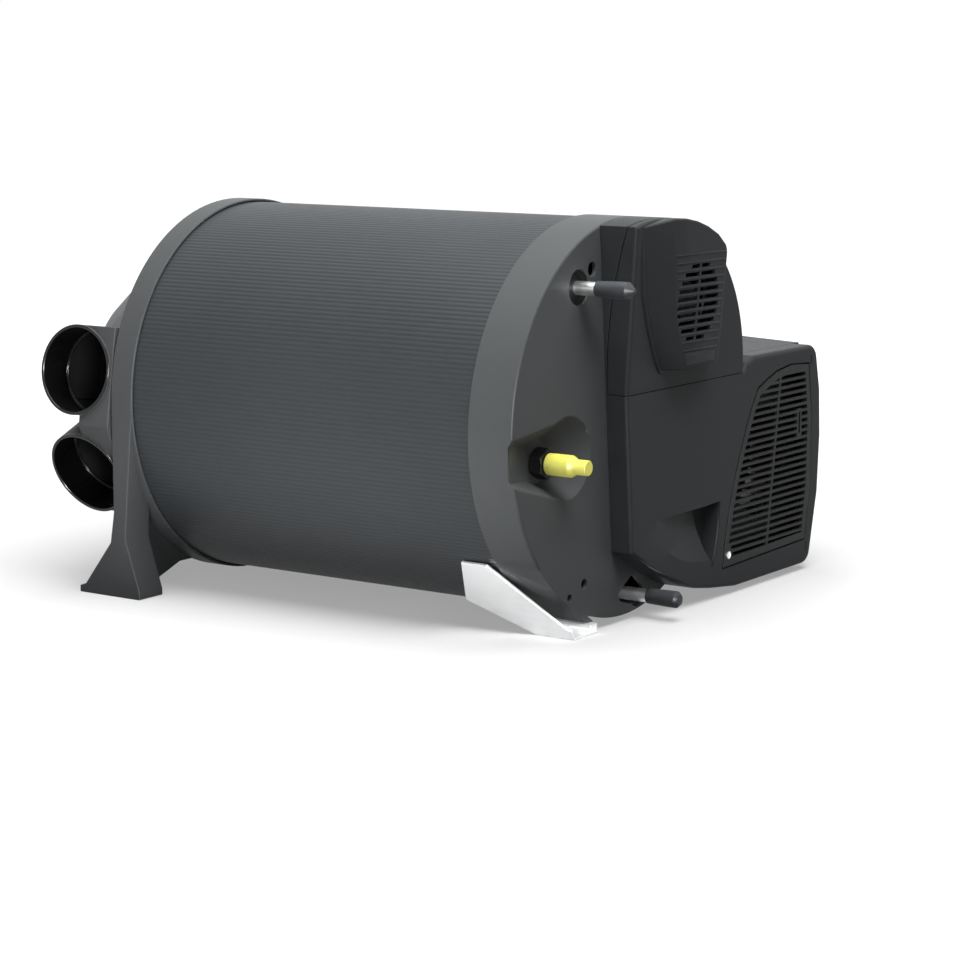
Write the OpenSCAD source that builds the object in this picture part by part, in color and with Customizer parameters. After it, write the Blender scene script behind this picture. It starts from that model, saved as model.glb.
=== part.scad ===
// Caravan water heater: a horizontal boiler in a ribbed jacket, with warm air outlets
// at the rear end and the burner, controls and blower under covers at the front end.
// X runs along the boiler from the outlets to the covers, Y from the front to the blower side, Z up.

/* [Body] */
// Height of the boiler's axis above the floor
axis_h = 152; // [150:0.5:156]
// Outer radius of the ribbed jacket
body_r = 145.5; // [142:0.5:147]
// Wall of the jacket
jacket_t = 2; // [1.5:0.1:3]
// Length of jacket that shows between the rear frame and the front cap
jacket_len = 311; // [300:1:330]
// Clearance between pieces that fit into each other
fit_gap = 0.3; // [0.2:0.05:0.5]
// Wall of the moulded plastic covers
cover_t = 2.5; // [2:0.1:3]

/* [Rear frame and outlets] */
// Width of the rear frame along the boiler
frame_w = 21; // [18:0.5:26]
// Height of the frame's rim above the jacket
frame_rim_t = 2.2; // [1.8:0.1:3]
// Thickness of the frame's closing wall
frame_wall_t = 3; // [2.5:0.1:4]
// Radius of the air opening in the closing wall
air_port_r = 118; // [112:0.5:120]
// Depth of each foot, measured inwards from the frame's side
foot_d = 27; // [22:1:32]
// Length of the foot behind the frame
foot_back = 37; // [30:1:42]
// Length of the foot in front of the frame
foot_front = 4; // [2:0.5:8]
// Thickness of the foot's sole
sole_t = 5; // [4:0.5:8]
// Height of the narrow neck of the leg
neck_h = 46; // [42:1:52]
// Radius of the screw hole in each foot
foot_hole_r = 2.75; // [2:0.05:3.2]
// Length of the air distributor behind the frame
dome_len = 99; // [95:1:110]
// Outer radius of a warm air outlet
outlet_r = 35; // [33:0.5:36]
// Inner radius of the outlet sleeve, which takes the duct
duct_r = 32.5; // [30:0.5:33]
// Distance of the outlet mouths from the boiler's axis
outlet_reach = 148; // [146:0.5:152]
// Angle of the upper outlets above the horizontal
outlet_up = 8.5; // [7:0.5:10]
// Angle of the lower outlets below the horizontal
outlet_down = 24; // [24:0.5:28]

/* [Front cap] */
// Width of the cap's rim along the boiler
cap_w = 37; // [36:0.5:44]
// Height of the cap's rim above the jacket
cap_rim_t = 1.2; // [1:0.1:1.6]
// Thickness of the cap's end wall
cap_wall_t = 3; // [2.5:0.1:4]
// Slope of the cap's foot, in degrees
wedge_slope = 34; // [32:0.5:36]
// Depth of the gas connection's pocket
pocket_depth = 18; // [16:0.5:20]
// Radius of the pocket at the end wall
pocket_r = 31; // [29:0.5:31.5]
// Radius of the water pipes
water_pipe_r = 5; // [4:0.25:6]
// Radius of the gas pipe
gas_pipe_r = 4; // [3:0.25:5]
// Running clearance between a pipe and its push-on cap
cap_gap = 0.3; // [0.2:0.05:0.5]

/* [Front bracket] */
// Sheet thickness of the aluminium bracket
sheet_t = 2; // [1.5:0.1:2.2]
// Width of the bracket's sole across the boiler
bracket_w = 30; // [28:0.5:34]
// Height of the ledge that carries the cap's foot
ledge_h = 7.5; // [7:0.25:9]
// Lean of the bracket's cheek from the vertical, in degrees
cheek_lean = 35.5; // [35:0.25:38]

/* [Covers] */
// Depth of the covers in front of the cap at the seam
cover_d = 18; // [17:0.5:20]
// Height of the seam between the hood and the blower cover
seam_z = 172; // [168:0.5:174]
// Extra depth of the hood at its top
hood_rise = 14; // [10:0.5:16]
// Depth of the vent cover's face in front of the cap
vent_d = 42; // [40:0.5:46]
// Radius of the round vent
vent_r = 29.5; // [28:0.5:31]
// Pitch of the vent's rows
vent_pitch = 5.9; // [5.4:0.1:6.4]
// Height of a slot in the vent and in the intake grille
slot_h = 3; // [2.4:0.1:3.4]
// Pitch of the intake grille's rows
grille_pitch = 5.4; // [5:0.1:6.5]
// Thickness of the intake grille
grille_t = 3; // [2.5:0.1:3.5]

/* [Blower] */
// Length of the blower housing behind the cap's face
blower_len = 133; // [125:1:140]
// Reach of the blower housing sideways from the boiler's axis, at its closed end
blower_reach = 299; // [295:1:305]
// Height of the blower housing's top above the floor
blower_top = 183; // [180:0.5:186]
// Clearance of the blower housing above the floor
blower_floor = 5; // [4:0.5:7]
// Outer radius of the blower wheel
wheel_r = 54; // [48:0.5:56]
// Number of blades on the blower wheel
wheel_blades = 30; // [20:1:36]
// Radius of the blower's shaft
shaft_r = 4; // [3:0.25:5]
// Radial running clearance of a shaft in its bearing
bearing_gap = 0.06; // [0.03:0.01:0.1]
// Outer radius of the combustion fan's wheel
burner_fan_r = 22; // [18:0.5:23]
// Number of blades on the combustion fan's wheel
burner_fan_blades = 14; // [8:1:16]

/* [Boiler] */
// Thickness of the foam insulation
foam_t = 10.9; // [9:0.1:12]
// Length of the water tank
tank_len = 280; // [268:1:284]
// Sheet thickness of the water tank
tank_t = 1.5; // [1:0.1:2]
// Inner radius of the ring-shaped tank
tank_bore_r = 78; // [74:0.5:80]
// Radius of the heat exchanger's flue tube
flue_tube_r = 50; // [48:0.5:50.5]
// Number of fins on the heat exchanger
fin_count = 36; // [24:1:40]
// Radius of the burner tube
burner_r = 20; // [16:0.5:21]
// Radius of the exhaust pipe
exhaust_r = 10.5; // [9:0.25:11]
// Outer radius of the combustion air collar in the cap's rim
intake_r = 14.5; // [13.5:0.25:15]

/* [Hidden] */
$fn = 96;

// Places along the boiler, from the rear frame's front face
frame_back = -frame_w;
frame_seat = frame_back + frame_wall_t;
seal_t = 1.5;
dome_seat = frame_back - seal_t;
dome_end = frame_back - dome_len;
cap_back = jacket_len;
cap_lap = 3.5;
jacket_end = cap_back + cap_lap;
cap_step = jacket_end + seal_t;
face_x = cap_back + cap_w;
wall_in = face_x - cap_wall_t;
seam_x = face_x + cover_d;
vent_x = face_x + vent_d;

// Radii from the jacket inwards and outwards
jacket_in_r = body_r - jacket_t;
foam_r = jacket_in_r - fit_gap;
foam_in_r = foam_r - foam_t;
tank_r = foam_in_r - fit_gap;
fin_r = tank_bore_r - 0.5;
frame_bore_r = body_r + fit_gap;
arch_r = frame_bore_r + frame_rim_t;
cap_bore_r = body_r + fit_gap;
cap_r = cap_bore_r + cap_rim_t;

// Water, gas and screw places on the cap's end wall, as [Y, Z] from the boiler's axis
hot_yz = [-63, 100];
cold_yz = [20, -(cap_r - 12)];
vent_hole_yz = [-45.6, 112];
gas_yz = [-90, -23];
pocket_yz = [-75.5, -20];
sight_hole_yz = [-53.6, -114.7];
edge_hole_yz = [-72.8, -122];
hot_hole_r = 12.8;
cold_hole_r = 9;

// Lengths of the pipe stubs and their caps in front of the end wall
stub_cap_start = 15.5;
hot_cap_len = 31.1;
cold_cap_start = 10;
cold_cap_len = 27;
cap_wall = 1;
cap_bite = 24;
gas_nut_t = 11;
gas_nut_r = 11.5;
gas_cap_big_len = 22;
gas_cap_small_len = 11.5;
gas_cap_big_r = 8;
gas_cap_small_r = 5.5;
pull_gap = 0.3;

// Outer limits, which set the origin under the middle of the whole heater
x_min = dome_end;
x_max = max(vent_x, face_x + stub_cap_start + hot_cap_len, face_x + cold_cap_start + cold_cap_len);
sleeve_lip = 1;
function outlet_side(a) = (outlet_reach + sleeve_lip) * cos(a) + outlet_r * sin(a);
y_min = -max(arch_r, outlet_side(outlet_up), outlet_side(outlet_down));
y_max = blower_reach;
origin = [-(x_min + x_max) / 2, -(y_min + y_max) / 2, 0];

// Left wall of the covers: a slanted line in the end view
wall_top = [-36, 294.5];
cap_low = axis_h - cap_r;
wall_low = [-17, cap_low + 50];
wall_slant = (wall_top[0] - wall_low[0]) / (wall_top[1] - wall_low[1]);
function wall_y(z) = wall_low[0] + (z - wall_low[1]) * wall_slant;

// Front face of the hood, which leans forward towards its top
hood_top_z = axis_h + cap_r;
function hood_x(z) = seam_x + hood_rise * (z - seam_z) / (hood_top_z - seam_z);

// Seam between the hood and its base: a curve that moves forward towards the top
seam_gap = 0.2;
seam_foot = 1;
seam_run = 24;
function seam_curve(z) = face_x + seam_foot + seam_run * pow((z - seam_z) / (hood_top_z - seam_z), 2);

// Front face of the vent cover, which leans the same way
vent_drop = 0.085;
vent_top_z = 295;
function vent_face(z) = vent_x - (vent_top_z - z) * vent_drop;
vent_yz = [41, 236];

// Blower's axis in the end view, beside the cap
fan_side = 56;
fan_yz = [cap_r + fan_side, 95];
wheel_w = 32;
wheel_front = face_x - 5;
wheel_back = wheel_front - wheel_w;
disc_t = 2.5;
ring_t = 2;
motor_plate_x = wheel_back - disc_t - 8;
motor_plate_t = 3;
motor_r = 30;
motor_len = 38;
inlet_t = 2.7;

// Combustion fan, on the cap's face behind the vent
burner_fan_yz = [34, 237];
burner_fan_w = 9;
volute_w = 15;
volute_r = burner_fan_r + 6;
burner_motor_len = 16;
burner_motor_r = 14;
burner_shaft_r = 2;

// Moves the finished piece so that the origin lies under the middle of the heater
module place() translate(origin) children();

// Extrudes an end-view outline, in [Y, Z], from x0 to x1
module slab(x0, x1) translate([x0, 0, 0]) rotate([90, 0, 90]) linear_extrude(x1 - x0) children();

// Extrudes a side-view outline, in [X, Z], from y0 to y1
module side_slab(y0, y1) translate([0, y1, 0]) rotate([90, 0, 0]) linear_extrude(y1 - y0) children();

// Round bar along the boiler at a place in the end view, given from the floor
module bar(x0, x1, r, yz = [0, axis_h])
  translate([x0, yz[0], yz[1]]) rotate([0, 90, 0]) cylinder(r = r, h = x1 - x0);

// Turned piece about the boiler's axis from a profile in [radius, X]
module turned() translate([0, 0, axis_h]) rotate([0, 90, 0]) rotate_extrude() children();

// Place in the end view from a place measured from the boiler's axis
function at(yz) = [yz[0], yz[1] + axis_h];

// Points on an arc in the plane, from angle a0 to a1
function arc(c, r, a0, a1, n) = [
  for (i = [0:n]) let (a = a0 + (a1 - a0) * i / n) c + r * [cos(a), sin(a)]
];

// Outline drawn in by d, for outlines that run anticlockwise
function inset(p, d) = [
  for (i = [0:len(p) - 1])
    let (
      a = p[(i + len(p) - 1) % len(p)],
      b = p[i],
      c = p[(i + 1) % len(p)],
      u = (b - a) / norm(b - a),
      v = (c - b) / norm(c - b),
      n1 = [u[1], -u[0]],
      n2 = [v[1], -v[0]]
    )
    b - (n1 + n2) * d / (1 + n1 * n2)
];

// Rear frame: rim round the jacket, closing wall with the air opening, and two splayed feet
leg_top_h = axis_h;
leg_bend_h = 66;
neck_back = 4;
neck_front = 9.5;
toe = 6;
toe_h = 2;
module leg_outline() polygon([
  [frame_back, leg_top_h], [frame_back, leg_bend_h], [frame_back - neck_back, neck_h - neck_back],
  [frame_back - foot_back + toe, sole_t + toe_h], [frame_back - foot_back, sole_t],
  [frame_back - foot_back, 0], [foot_front, 0], [foot_front, sole_t], [-neck_front, neck_h], [0, leg_top_h]
]);

// Screw seat in each foot, and the rise of the frame's lower edge between the feet
foot_hole_x = frame_back - foot_back + 16;
foot_hole_y = arch_r - foot_d / 2;
screw_seat_r = 6;
web_rise = [75, 16.5];
module rear_frame() color([0.30, 0.31, 0.32]) difference() {
  union() {
    slab(frame_back, 0) difference() {
      translate([0, axis_h]) circle(r = arch_r);
      translate([0, axis_h]) circle(r = frame_bore_r);
      translate([-arch_r, -arch_r]) square([2 * arch_r, arch_r + sole_t]);
    }
    slab(frame_back, frame_seat) difference() {
      union() {
        translate([0, axis_h]) circle(r = arch_r);
        polygon([
          [-arch_r, axis_h], [-arch_r, 0], [-arch_r + foot_d, 0], [-web_rise[0], web_rise[1]],
          [web_rise[0], web_rise[1]], [arch_r - foot_d, 0], [arch_r, 0], [arch_r, axis_h]
        ]);
      }
      translate([-arch_r + foot_d, -arch_r]) square([2 * (arch_r - foot_d), arch_r + sole_t]);
    }
    for (side = [-1, 1])
      side_slab(side > 0 ? arch_r - foot_d : -arch_r, side > 0 ? arch_r : -arch_r + foot_d) leg_outline();
  }
  bar(frame_seat, foot_front + 1, frame_bore_r);
  bar(frame_back - 1, frame_seat + 1, air_port_r);
  for (side = [-1, 1]) translate([foot_hole_x, side * foot_hole_y, 0]) {
    translate([0, 0, -1]) cylinder(r = foot_hole_r, h = sole_t + 2);
    translate([0, 0, sole_t]) cylinder(r = screw_seat_r, h = neck_h);
  }
  flange_screw_places()
    bar(frame_back - 1, frame_seat + 1, screw_r + screw_gap, [0, axis_h + flange_screw_r]);
}

// Turns a piece about the boiler's axis
module rotate_on_axis(a) translate([0, 0, axis_h]) rotate([a, 0, 0]) translate([0, 0, -axis_h]) children();

// Screws round the flange, kept clear of the outlets
flange_screw_a = [0, 50, 145, 180, 215, 310];
module flange_screw_places() for (a = flange_screw_a) rotate_on_axis(a) children();

// Seal between the frame and the air distributor
seal_w = 9;
module rear_seal() color([0.08, 0.08, 0.08])
  slab(dome_seat, frame_back) translate([0, axis_h]) difference() {
    circle(r = air_port_r + 1 + seal_w);
    circle(r = air_port_r + 1);
  }

// Air distributor: a blunt cone with a flange and four spigots that point away from the axis
flange_t = 3;
flange_r = arch_r - 6;
flange_screw_r = flange_r - 4;
dome_r = flange_r - 9;
dome_tip_r = 56;
outlet_setback = 1;
outlet_x = dome_seat - outlet_setback - outlet_r;
dome_taper = 0.73;
screw_r = 1.6;
screw_gap = 0.1;
screw_head_r = 3.4;
screw_head_t = 2.2;
spigot_root = 60;
function dome_profile(d) = [
  [dome_r - d, dome_seat], [dome_r - d, dome_seat - flange_t],
  [dome_r - dome_taper * (dome_seat - flange_t - dome_end - 8) - d, dome_end + 8],
  [dome_tip_r + 8 - d, dome_end + 2 + d / 2], [dome_tip_r - d, dome_end + d], [0, dome_end + d],
  [0, dome_seat]
];

// Carries a piece drawn along +Z out to an outlet's place: a is its angle above the horizontal
module outlet_place(side, a)
  translate([outlet_x, 0, axis_h]) rotate([side * (a - 90), 0, 0]) children();
outlets = [[-1, outlet_up], [-1, -outlet_down], [1, outlet_up], [1, -outlet_down]];

// Block that joins the two outlets of a side to the flange, nearly flush with their mouths
block_setback = 6;
block_drop = 1.5;
module spigot_block(side) let (
  reach = outlet_reach - block_drop,
  up = [cos(outlet_up), sin(outlet_up)],
  down = [cos(outlet_down), -sin(outlet_down)],
  above = outlet_r * [-up[1], up[0]],
  below = outlet_r * [down[1], -down[0]],
  ridge = reach / cos((outlet_up + outlet_down) / 2)
) slab(outlet_x + block_setback, dome_seat) translate([0, axis_h]) scale([side, 1]) polygon([
  spigot_root * up + above, reach * up + above,
  ridge * [cos((outlet_up - outlet_down) / 2), sin((outlet_up - outlet_down) / 2)],
  reach * down + below, spigot_root * down + below
]);

module air_distributor() color([0.30, 0.31, 0.32]) difference() {
  union() {
    turned() polygon(dome_profile(0));
    slab(dome_seat - flange_t, dome_seat) translate([0, axis_h]) circle(r = flange_r);
    for (o = outlets) outlet_place(o[0], o[1]) translate([0, 0, spigot_root])
      cylinder(r = outlet_r, h = outlet_reach - spigot_root);
    for (side = [-1, 1]) spigot_block(side);
  }
  intersection() {
    turned() polygon(dome_profile(cover_t));
    bar(dome_end, dome_seat, dome_r);
  }
  bar(dome_seat - flange_t - 1, dome_seat + 1, air_port_r);
  for (o = outlets) outlet_place(o[0], o[1]) translate([0, 0, spigot_root - 12])
    cylinder(r = sleeve_bore_r, h = outlet_reach);
  flange_screw_places()
    bar(dome_seat - flange_t - 1, dome_seat + 1, screw_r + screw_gap, [0, axis_h + flange_screw_r]);
}

// Black sleeve that lines an outlet and takes the duct
sleeve_bore_r = outlet_r - 1.2;
sleeve_len = 27;
module outlet_sleeve(side, a) color([0.03, 0.03, 0.03])
  outlet_place(side, a) translate([0, 0, outlet_reach - sleeve_len]) difference() {
    union() {
      cylinder(r = sleeve_bore_r - fit_gap, h = sleeve_len);
      translate([0, 0, sleeve_len]) cylinder(r = outlet_r, h = sleeve_lip);
    }
    translate([0, 0, -1]) cylinder(r = duct_r, h = sleeve_len + sleeve_lip + 2);
  }

// Screws that hold the distributor's flange to the frame
module frame_screws() color([0.55, 0.56, 0.57]) flange_screw_places() {
  bar(dome_seat - flange_t, frame_seat, screw_r, [0, axis_h + flange_screw_r]);
  bar(dome_seat - flange_t - screw_head_t, dome_seat - flange_t, screw_head_r, [0, axis_h + flange_screw_r]);
}

// Jacket: the tube that shows between the frame and the cap
module jacket() color([0.27, 0.29, 0.30]) difference() {
  bar(frame_seat, jacket_end, body_r);
  bar(frame_seat - 1, jacket_end + 1, jacket_in_r);
}

// Foam insulation in two half shells, as far forward as the tank
tank_setback = 11;
foam_end = cap_back - tank_setback;
module foam_half(up) color([0.12, 0.12, 0.12]) intersection() {
  difference() {
    bar(frame_seat, foam_end, foam_r);
    bar(frame_seat - 1, foam_end + 1, foam_in_r);
  }
  translate([frame_seat, -body_r, up ? axis_h + fit_gap / 2 : axis_h - fit_gap / 2 - body_r])
    cube([foam_end - frame_seat, 2 * body_r, body_r]);
}

// Ring-shaped water tank with holes for its two pipes and its sensor
tank_front = cap_back - tank_setback;
tank_back = tank_front - tank_len;
sensor_yz = [-100, 40];
sensor_r = 4;
module water_tank() color([0.70, 0.71, 0.72]) difference() {
  bar(tank_back, tank_front, tank_r);
  bar(tank_back - 1, tank_front + 1, tank_bore_r);
  difference() {
    bar(tank_back + tank_t, tank_front - tank_t, tank_r - tank_t);
    bar(tank_back, tank_front, tank_bore_r + tank_t);
  }
  bar(tank_front - tank_t - 1, tank_front + 1, water_pipe_r - 1, at(hot_yz));
  bar(tank_front - tank_t - 1, tank_front + 1, water_pipe_r - 1, [cold_yz[0], elbow_top - elbow_inset]);
}

// Heat exchanger: flue tube with fins that the air passes along
flue_wall = 4;
fin_t = 2;
fin_setback = 4;
exchanger_front = tank_front - 8;
exchanger_back = tank_back + 10;
module heat_exchanger() color([0.62, 0.63, 0.64]) difference() {
  union() {
    bar(exchanger_back, exchanger_front, flue_tube_r);
    for (i = [0:fin_count - 1]) rotate_on_axis(i * 360 / fin_count)
      translate([exchanger_back + fin_setback, -fin_t / 2, axis_h + flue_tube_r - 1])
        cube([exchanger_front - exchanger_back - 2 * fin_setback, fin_t, fin_r - flue_tube_r + 1]);
  }
  bar(exchanger_back + flue_wall, exchanger_front + 1, flue_tube_r - flue_wall);
}

// Burner tube with its flange on the inside of the end wall
burner_wall = 1.5;
burner_len = 205;
burner_flange_r = flue_tube_r - flue_wall - 4;
burner_flange_t = 3;
electrode_r = 3;
electrode_y = burner_r + 8;
flame_rows = 6;
flame_pitch = 14;
flame_hole_r = 2;
module burner_tube() color([0.55, 0.52, 0.48]) difference() {
  union() {
    bar(wall_in - burner_len, wall_in, burner_r);
    bar(wall_in - burner_flange_t, wall_in, burner_flange_r);
  }
  bar(wall_in - burner_len + burner_wall, wall_in + 1, burner_r - burner_wall);
  bar(wall_in - burner_flange_t - 1, wall_in + 1, electrode_r + screw_gap, [electrode_y, axis_h]);
  for (i = [1:flame_rows], a = [0:45:315]) translate([wall_in - burner_len + i * flame_pitch, 0, axis_h])
    rotate([a, 0, 0]) translate([0, 0, burner_r - 3]) cylinder(r = flame_hole_r, h = 6);
}

// Gas jet, in the end wall at the mouth of the burner
jet_r = 6;
jet_bore_r = 1;
jet_reach = 20;
jet_head_r = 10;
jet_head_t = 4;
jet_gap = 0.1;
module burner_jet() color([0.72, 0.60, 0.30]) difference() {
  union() {
    bar(wall_in - jet_reach, face_x, jet_r);
    bar(face_x, face_x + jet_head_t, jet_head_r);
  }
  bar(wall_in - jet_reach - 1, face_x + jet_head_t + 1, jet_bore_r);
}

// Ignition electrode in its ceramic, through the burner's flange
electrode_body = 30;
electrode_tip = 22;
electrode_tip_r = 1;
module ignition_electrode() color([0.88, 0.86, 0.80]) {
  bar(wall_in - electrode_body, wall_in, electrode_r, [electrode_y, axis_h]);
  translate([-electrode_body, 0, 0])
    bar(wall_in - electrode_tip, wall_in, electrode_tip_r, [electrode_y, axis_h]);
}

// Exhaust collector between the heat exchanger and the end wall, with the exhaust's hole
port_a = 33;
port_x = (cap_step + face_x) / 2;
module port_place() translate([port_x, 0, axis_h]) rotate([port_a - 90, 0, 0]) children();
module exhaust_collector() color([0.66, 0.66, 0.66]) difference() {
  bar(exchanger_front, wall_in, flue_tube_r);
  bar(exchanger_front - 1, wall_in + 1, flue_tube_r - flue_wall);
  port_place() cylinder(r = exhaust_r - exhaust_step + fit_gap, h = flue_tube_r + 5);
}

// Exhaust pipe with a thicker end for its hose, and the combustion air collar round it on the cap's rim
intake_out = 19;
exhaust_out = 12;
intake_reach = cap_r + intake_out;
exhaust_reach = intake_reach + exhaust_out;
exhaust_wall = 1.2;
exhaust_step = 0.5;
module exhaust_stub() color([0.75, 0.75, 0.76]) port_place() difference() {
  union() {
    translate([0, 0, flue_tube_r - flue_wall])
      cylinder(r = exhaust_r - exhaust_step, h = exhaust_reach - flue_tube_r + flue_wall);
    translate([0, 0, intake_reach]) cylinder(r = exhaust_r, h = exhaust_reach - intake_reach);
  }
  cylinder(r = exhaust_r - exhaust_step - exhaust_wall, h = exhaust_reach + 1);
}
intake_root = cap_r - 8;
intake_wall = 2;
intake_step = 1;
spoke_t = 1.6;
spoke_d = 6;
module air_intake_collar() color([0.10, 0.10, 0.10]) port_place() difference() {
  union() {
    translate([0, 0, intake_root]) cylinder(r = intake_r, h = intake_reach - intake_root);
    translate([0, 0, cap_r + fit_gap])
      cylinder(r = intake_r + intake_step, h = intake_reach - cap_r - fit_gap);
  }
  translate([0, 0, intake_root - 1]) difference() {
    cylinder(r = intake_r - intake_wall, h = intake_reach);
    for (a = [0:120:240]) rotate([0, 0, a]) translate([0, -spoke_t / 2, 0])
      cube([intake_r, spoke_t, spoke_d + 1]);
  }
  translate([0, 0, intake_root - 1]) cylinder(r = exhaust_r - exhaust_step + fit_gap, h = intake_reach);
}

// Temperature sensor pressed on the tank's front plate
sensor_len = 8;
sensor_tail = 6;
module tank_sensor() color([0.60, 0.45, 0.20]) {
  bar(tank_front, tank_front + sensor_len, sensor_r, at(sensor_yz));
  bar(tank_front + sensor_len, tank_front + sensor_len + sensor_tail, sensor_r / 2, at(sensor_yz));
}

// Front cap: rim over the jacket's end, end wall with its openings, and a sloping foot
wedge_r = cap_r - 0.3;
wedge_top = axis_h - wedge_r * cos(wedge_slope);
wedge_tip_y = -wedge_r * sin(wedge_slope) + (wedge_top - ledge_h) / tan(wedge_slope);
cap_in_r = jacket_in_r;
duct_x = [cap_step + 3, wall_in - 3];
duct_z = [-66, -12];
wedge_t = 4;
wedge_in = wedge_t * [sin(wedge_slope), cos(wedge_slope)];
module wedge_outline() polygon([
  [-wedge_r * sin(wedge_slope), wedge_top], [wedge_tip_y, ledge_h],
  [wedge_tip_y + wedge_t / sin(wedge_slope), ledge_h],
  [-wedge_r * sin(wedge_slope), wedge_top] + wedge_in
]);

// Pocket of the gas connection: a slanting cone that runs out to the rim in a ramp. Both outlines run
// from the rim's lower point round the cone to the rim's upper point; grow makes the pocket larger
pocket_floor = face_x - pocket_depth;
pocket_floor_r = gas_nut_r + 4.5;
pocket_floor_yz = gas_yz + [-1.5, 1];
pocket_run = 2;
pocket_rim_y = -cap_r - 3;
pocket_rim = [-32, 1];
pocket_floor_rim = [-29, -3];
pocket_steps = 28;
pocket_turn = [-110, 118];
pocket_floor_turn = [-126, 132];
function pocket_loop(c, r, turn, rim, grow, x, x_rim) = concat(
  [[x_rim, pocket_rim_y, axis_h + rim[0] - grow]],
  [for (p = arc(c, r + grow, turn[0], turn[1], pocket_steps)) [x, p[0], p[1] + axis_h]],
  [[x_rim, pocket_rim_y, axis_h + rim[1] + grow]]
);
module gas_pocket(grow) let (
  top = pocket_loop(pocket_yz, pocket_r, pocket_turn, pocket_rim, grow, face_x + 1, face_x + 1),
  low = pocket_loop(
    pocket_floor_yz, pocket_floor_r, pocket_floor_turn, pocket_floor_rim, grow, pocket_floor - grow,
    face_x - pocket_run - grow
  ),
  n = len(top)
) polyhedron(
  points = concat(top, low),
  faces = concat(
    [[for (i = [n - 1:-1:0]) i]],
    [for (i = [0:n - 1]) [i, (i + 1) % n, n + i]],
    [for (i = [0:n - 1]) [(i + 1) % n, n + (i + 1) % n, n + i]],
    [[for (i = [1:n - 2]) n + i]],
    [[n, n + 1, n + n - 2], [n, n + n - 2, n + n - 1]]
  )
);

// Small holes in the end wall
vent_hole_r = 5;
sight_hole_r = 3.8;
edge_hole_r = 3;
cold_slot_side = [-21, 3];
cold_slot_rise = [-7, 11];
cold_slot_r = 5;
module cold_slot() slab(wall_in - 1, face_x + 1) hull() {
  translate(at(cold_yz)) circle(r = cold_hole_r, $fn = 32);
  translate(at(cold_yz + cold_slot_rise)) circle(r = cold_slot_r, $fn = 24);
  translate(at(cold_yz + cold_slot_side)) circle(r = cold_slot_r, $fn = 24);
}
module front_cap() color([0.30, 0.31, 0.32]) difference() {
  union() {
    difference() {
      union() {
        bar(cap_back, face_x, cap_r);
        slab(cap_back, face_x) wedge_outline();
      }
      bar(cap_back - 1, cap_step, cap_bore_r);
      bar(cap_step - 1, wall_in, cap_in_r);
    }
    intersection() {
      gas_pocket(cover_t);
      bar(cap_back, face_x, cap_r);
    }
  }
  gas_pocket(0);
  cold_slot();
  bar(pocket_floor - cover_t - 1, face_x, gas_pipe_r + screw_gap, at(gas_yz));
  bar(wall_in - 1, face_x + 1, hot_hole_r, at(hot_yz));
  bar(wall_in - 1, face_x + 1, vent_hole_r, at(vent_hole_yz));
  bar(wall_in - 1, face_x + 1, sight_hole_r, at(sight_hole_yz));
  bar(wall_in - 1, face_x + 1, edge_hole_r, at(edge_hole_yz));
  bar(wall_in - 1, face_x + 1, jet_r + jet_gap);
  port_place() cylinder(r = intake_r + fit_gap, h = cap_r + 5);
  translate([duct_x[0], 0, axis_h + duct_z[0]])
    cube([duct_x[1] - duct_x[0], 2 * cap_r, duct_z[1] - duct_z[0]]);
}

// Seal between the jacket's end and the cap's step
module cap_seal() color([0.08, 0.08, 0.08])
  slab(jacket_end, cap_step) translate([0, axis_h]) difference() {
    circle(r = body_r);
    circle(r = jacket_in_r + fit_gap);
  }

// Aluminium bracket: sole, ledge under the cap's foot, and a leaning cheek cut on a slope
ledge_bite = 4;
bracket_ledge_y = wedge_tip_y + ledge_bite;
bracket_y = bracket_ledge_y - bracket_w;
bracket_end = face_x + 5.5;
bracket_sole = 34;
bracket_heel = bracket_end - bracket_sole;
ledge_w = 9;
bracket_hole_r = 2.75;
cheek_points = [
  [bracket_end, 0], [bracket_end, 9], [bracket_end - 3, 9.5], [bracket_heel - 16, 68],
  [bracket_heel - 38, 68], [bracket_heel - 50, 28], [bracket_heel, 0]
];
module support_bracket() color([0.86, 0.87, 0.88]) difference() {
  union() {
    translate([bracket_heel, bracket_y, 0]) cube([bracket_sole, bracket_w, sheet_t]);
    translate([bracket_heel, bracket_ledge_y - sheet_t, 0]) cube([bracket_sole, sheet_t, ledge_h]);
    translate([bracket_heel, bracket_ledge_y - ledge_w, ledge_h - sheet_t])
      cube([bracket_sole, ledge_w, sheet_t]);
    translate([0, bracket_y, 0]) rotate([cheek_lean, 0, 0]) side_slab(0, sheet_t) polygon(cheek_points);
  }
  translate([bracket_heel + bracket_sole / 2, bracket_y + (bracket_w - ledge_w) / 2 + 1, -1])
    cylinder(r = bracket_hole_r, h = sheet_t + 2);
}

// Hot water pipe from the tank's front plate, with its grommet in the end wall
module hot_water_pipe() color([0.85, 0.86, 0.87]) difference() {
  bar(tank_front, face_x + stub_cap_start + cap_bite, water_pipe_r, at(hot_yz));
  bar(tank_front - 1, face_x + stub_cap_start + cap_bite + 1, water_pipe_r - 1, at(hot_yz));
}
grommet_lip = 1.5;
module hot_water_grommet() color([0.04, 0.04, 0.04]) difference() {
  union() {
    bar(wall_in - grommet_lip, wall_in, hot_hole_r + 2, at(hot_yz));
    bar(wall_in, face_x - 1, hot_hole_r - 0.1, at(hot_yz));
  }
  bar(wall_in - 3, face_x + 1, water_pipe_r + 0.1, at(hot_yz));
}

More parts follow.
